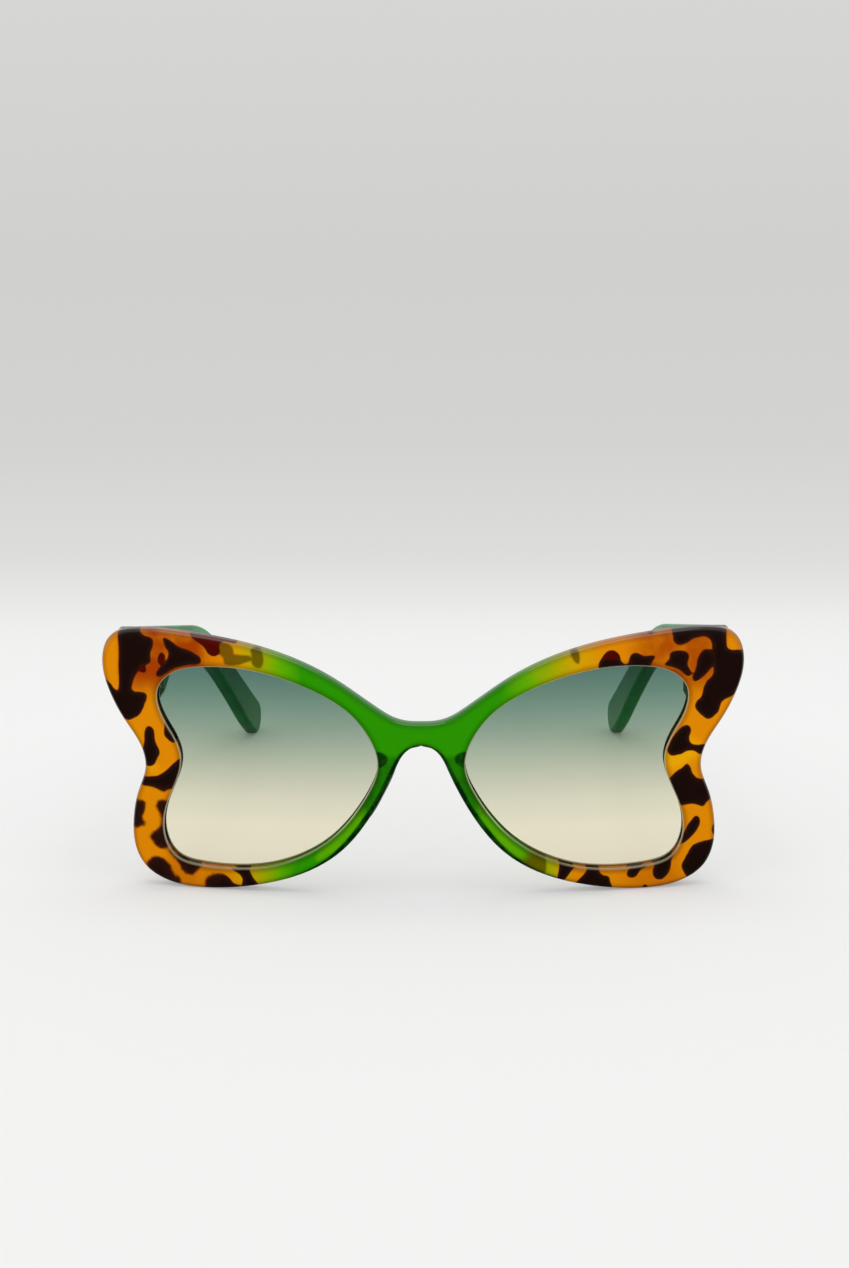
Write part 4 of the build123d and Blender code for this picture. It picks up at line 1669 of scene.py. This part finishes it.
@dataclass(frozen=True)
class Hinges:
    """The hinge leaves and all screws, which keep their CAD shapes and get their metals."""

    leaf: HingeMetal = HingeMetal("stamped_nickel", linear(200, 197, 190), linear(150, 147, 140), 0.22)
    screw: HingeMetal = HingeMetal("bright_steel", linear(214, 214, 214), linear(170, 170, 172), 0.12)

    def dress(self, frame: dict) -> None:
        """Give each leaf and each screw its metal.
        """
        leaf, screw = self.leaf.build(), self.screw.build()
        for name, node in frame["nodes"].items():
            if name.endswith("leaf") or "screw" in name:
                coated(node, leaf if name.endswith("leaf") else screw)
                log.info("%s keeps its shape", name)


@dataclass
class Studio:
    """The pale sweep that the glasses stand on, the soft lamp and the camera.

    The camera's sizes are in millimetres and degrees, and the others in metres. Each backdrop tone is a
    height in the frame, counted down from its top, and the grey of painted light and shade that the backdrop
    has there.
    """

    camera_x: float = 0.98
    camera_back: float = 384.4
    camera_height: float = 145.6
    camera_pitch: float = 12.23
    camera_roll: float = 0.46
    yaw: float = 1.45
    focal_length: float = 50.0
    sensor: float = 36.0
    frame_height: int = 1268
    floor_end: float = -6.0
    floor_front: float = -1.6
    cove_start: float = 0.45
    cove_radius: float = 0.4
    wall_top: float = 1.6
    half_width: float = 1.8
    columns: int = 9
    flat_rows: int = 60
    cove_rows: int = 40
    backdrop_tones: tuple = ((0, 214), (260, 208), (440, 211), (555, 221), (630, 239), (740, 246), (900, 240))
    nearest: float = 0.05
    widest_angle: float = 80.0
    floor_glow: float = 0.32
    backdrop_zone: tuple = (0.14, 0.3)
    mirrored_floor: tuple = (0.05, 0.068)
    world_light: float = 0.95
    behind_camera: float = 0.08
    behind_zone: tuple = (-0.75, -0.1)
    lamp_place: tuple = (0.0, -0.05, 0.9)
    lamp_target: tuple = (0.0, 0.0, 0.03)
    lamp_width: float = 0.7
    lamp_power: float = 2.2

    def camera(self, foremost_y: float) -> None:
        """Make the camera at the photograph's angle.

        Args:
            foremost_y: The y of the front's foremost point, in metres.
        """
        turn = math.radians(self.yaw)
        place = Vector((self.camera_x * math.cos(turn) + self.camera_back * math.sin(turn),
                        self.camera_x * math.sin(turn) - self.camera_back * math.cos(turn),
                        self.camera_height))
        pitch = math.radians(self.camera_pitch)
        look = Vector((-math.sin(turn) * math.cos(pitch), math.cos(turn) * math.cos(pitch), -math.sin(pitch)))
        data = bpy.data.cameras.new("camera")
        data.lens = self.focal_length
        camera = bpy.data.objects.new("camera", data)
        camera.location = place * MM + Vector((0, foremost_y, 0))
        roll = Quaternion((0, 0, 1), math.radians(-self.camera_roll))
        camera.rotation_euler = (look.to_track_quat("-Z", "Y") @ roll).to_euler()
        bpy.context.scene.collection.objects.link(camera)
        bpy.context.scene.camera = camera

    def profile(self) -> tuple:
        """The sweep's section: a straight floor, a quarter circle and a straight wall.

        Returns:
            Its y and its z in metres.
        """
        turn = np.linspace(0, math.pi / 2, self.cove_rows)[1:]
        floor = np.linspace(self.floor_front, self.cove_start, self.flat_rows)
        floor = np.concatenate([[self.floor_end], floor])
        wall = np.linspace(self.cove_radius, self.wall_top, self.flat_rows)[1:]
        y = np.concatenate([floor, self.cove_start + self.cove_radius * np.sin(turn),
                            np.full(len(wall), self.cove_start + self.cove_radius)])
        return y, np.concatenate([np.zeros(len(floor)), self.cove_radius * (1 - np.cos(turn)), wall])

    def greys(self, y: np.ndarray, z: np.ndarray) -> np.ndarray:
        """The screen's grey of each place, which is the backdrop's painted light and shade at the height
        where the camera sees it.

        The height is half the frame's plus the focal length in pixels times the tangent of the angle below
        the camera's axis. What the camera doesn't see has the last grey.

        Args:
            y, z: The sweep's section.

        Returns:
            The greys from 0 to 255.
        """
        camera = bpy.context.scene.camera.location
        angle = np.degrees(np.arctan2(camera.z - z, y - camera.y)) - self.camera_pitch
        focal_pixels = self.focal_length / self.sensor * self.frame_height
        height = self.frame_height / 2 + focal_pixels * np.tan(np.radians(angle))
        heights, greys = np.array(self.backdrop_tones).T
        seen = (y > camera.y + self.nearest) & (np.abs(angle) < self.widest_angle)
        return np.where(seen, np.interp(height, heights, greys), greys[-1])

    def sweep(self) -> None:
        """Make the floor, cove and wall as one sheet, with what the paper reads written to its vertices.

        The profile is repeated at even places across. "tone" is the backdrop's grey, "backdrop" how much of
        it shows, and "far" 1 on the floor before the glasses.
        """
        y, z = self.profile()
        x = np.linspace(-self.half_width, self.half_width, self.columns)[:, None]
        points = np.stack(np.broadcast_arrays(x, y, z), axis=-1)
        faces = grid_faces(self.columns, len(y), columns_close=False, rows_close=False)
        mesh = bpy.data.meshes.new("sweep")
        mesh.from_pydata(points.reshape(-1, 3).tolist(), [], faces.reshape(-1, 4).tolist())
        mesh.shade_smooth()
        mesh.materials.append(PalePaper().build())
        sheet = bpy.data.objects.new("sweep", mesh)
        bpy.context.scene.collection.objects.link(sheet)
        # The floor near the glasses glows with part of the painted tone, which weakens their cast shadow.
        shown = self.floor_glow + (1 - self.floor_glow) * smooth_step(y, *self.backdrop_zone)
        for name, values in (("tone", from_screen(self.greys(y, z))), ("backdrop", shown),
                             ("far", smooth_step(-y, *self.mirrored_floor))):
            written(sheet, name, np.tile(values, self.columns))
        sheet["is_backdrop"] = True

    def lamp(self) -> None:
        """Hang a square soft lamp overhead."""
        data = bpy.data.lights.new("overhead", "AREA")
        data.shape = "SQUARE"
        data.size = self.lamp_width
        data.energy = self.lamp_power
        lamp = bpy.data.objects.new("overhead", data)
        place = Vector(self.lamp_place)
        lamp.location = place
        lamp.rotation_euler = (Vector(self.lamp_target) - place).to_track_quat("-Z", "Y").to_euler()
        bpy.context.scene.collection.objects.link(lamp)

    def world(self) -> None:
        """Light the scene evenly from a pale world, which gloss sees darker behind the camera."""
        world = bpy.data.worlds.new("studio")
        s = Shading(world)
        way = s.add("ShaderNodeTexCoord").outputs["Generated"]
        back = s.add("ShaderNodeSeparateXYZ", Vector=way).outputs["Y"]
        behind = s.stretched(back, *self.behind_zone, self.behind_camera, 1.0)
        glossy = s.add("ShaderNodeLightPath").outputs["Is Glossy Ray"]
        strength = s.add("ShaderNodeMix", Factor=glossy, A=1.0, B=behind).outputs["Result"]
        light = s.add("ShaderNodeBackground", Color=(1.0, 1.0, 1.0, 1.0),
                      Strength=s.math("MULTIPLY", strength, self.world_light))
        s.add("ShaderNodeOutputWorld", Surface=light.outputs[0])
        bpy.context.scene.world = world

    def build(self, foremost_y: float) -> None:
        """Set the camera, the sweep, the world and the lamp, with the plain view transform.

        Args:
            foremost_y: The y of the front's foremost point, in metres.
        """
        bpy.context.scene.view_settings.view_transform = "Standard"
        self.camera(foremost_y)
        self.sweep()
        self.world()
        self.lamp()


def main() -> None:
    """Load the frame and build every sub-assembly in order."""
    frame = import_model()
    cad_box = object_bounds()
    shape = FrontShape()
    green = GreenPlastic().build()
    # The pads get a darker copy of the green plastic: painted shade.
    deep_green = GreenPlastic("deep_green_plastic", linear(0, 26, 8), linear(2, 50, 14)).build()
    front = Front(shape, TortoisePlastic().build())
    lens = Lens(shape, GradientTint().build())
    pad = NosePad(shape, deep_green)
    temple = Temple(green, front.butt_y)
    front.dress()
    for side in Side:
        lens.dress(side)
        pad.dress(side)
        temple.dress(side)
    Hinges().dress(frame)
    Studio().build(cad_box[0].y)


if __name__ == "__main__":
    logging.basicConfig(level=logging.INFO, format="%(message)s")
    main()
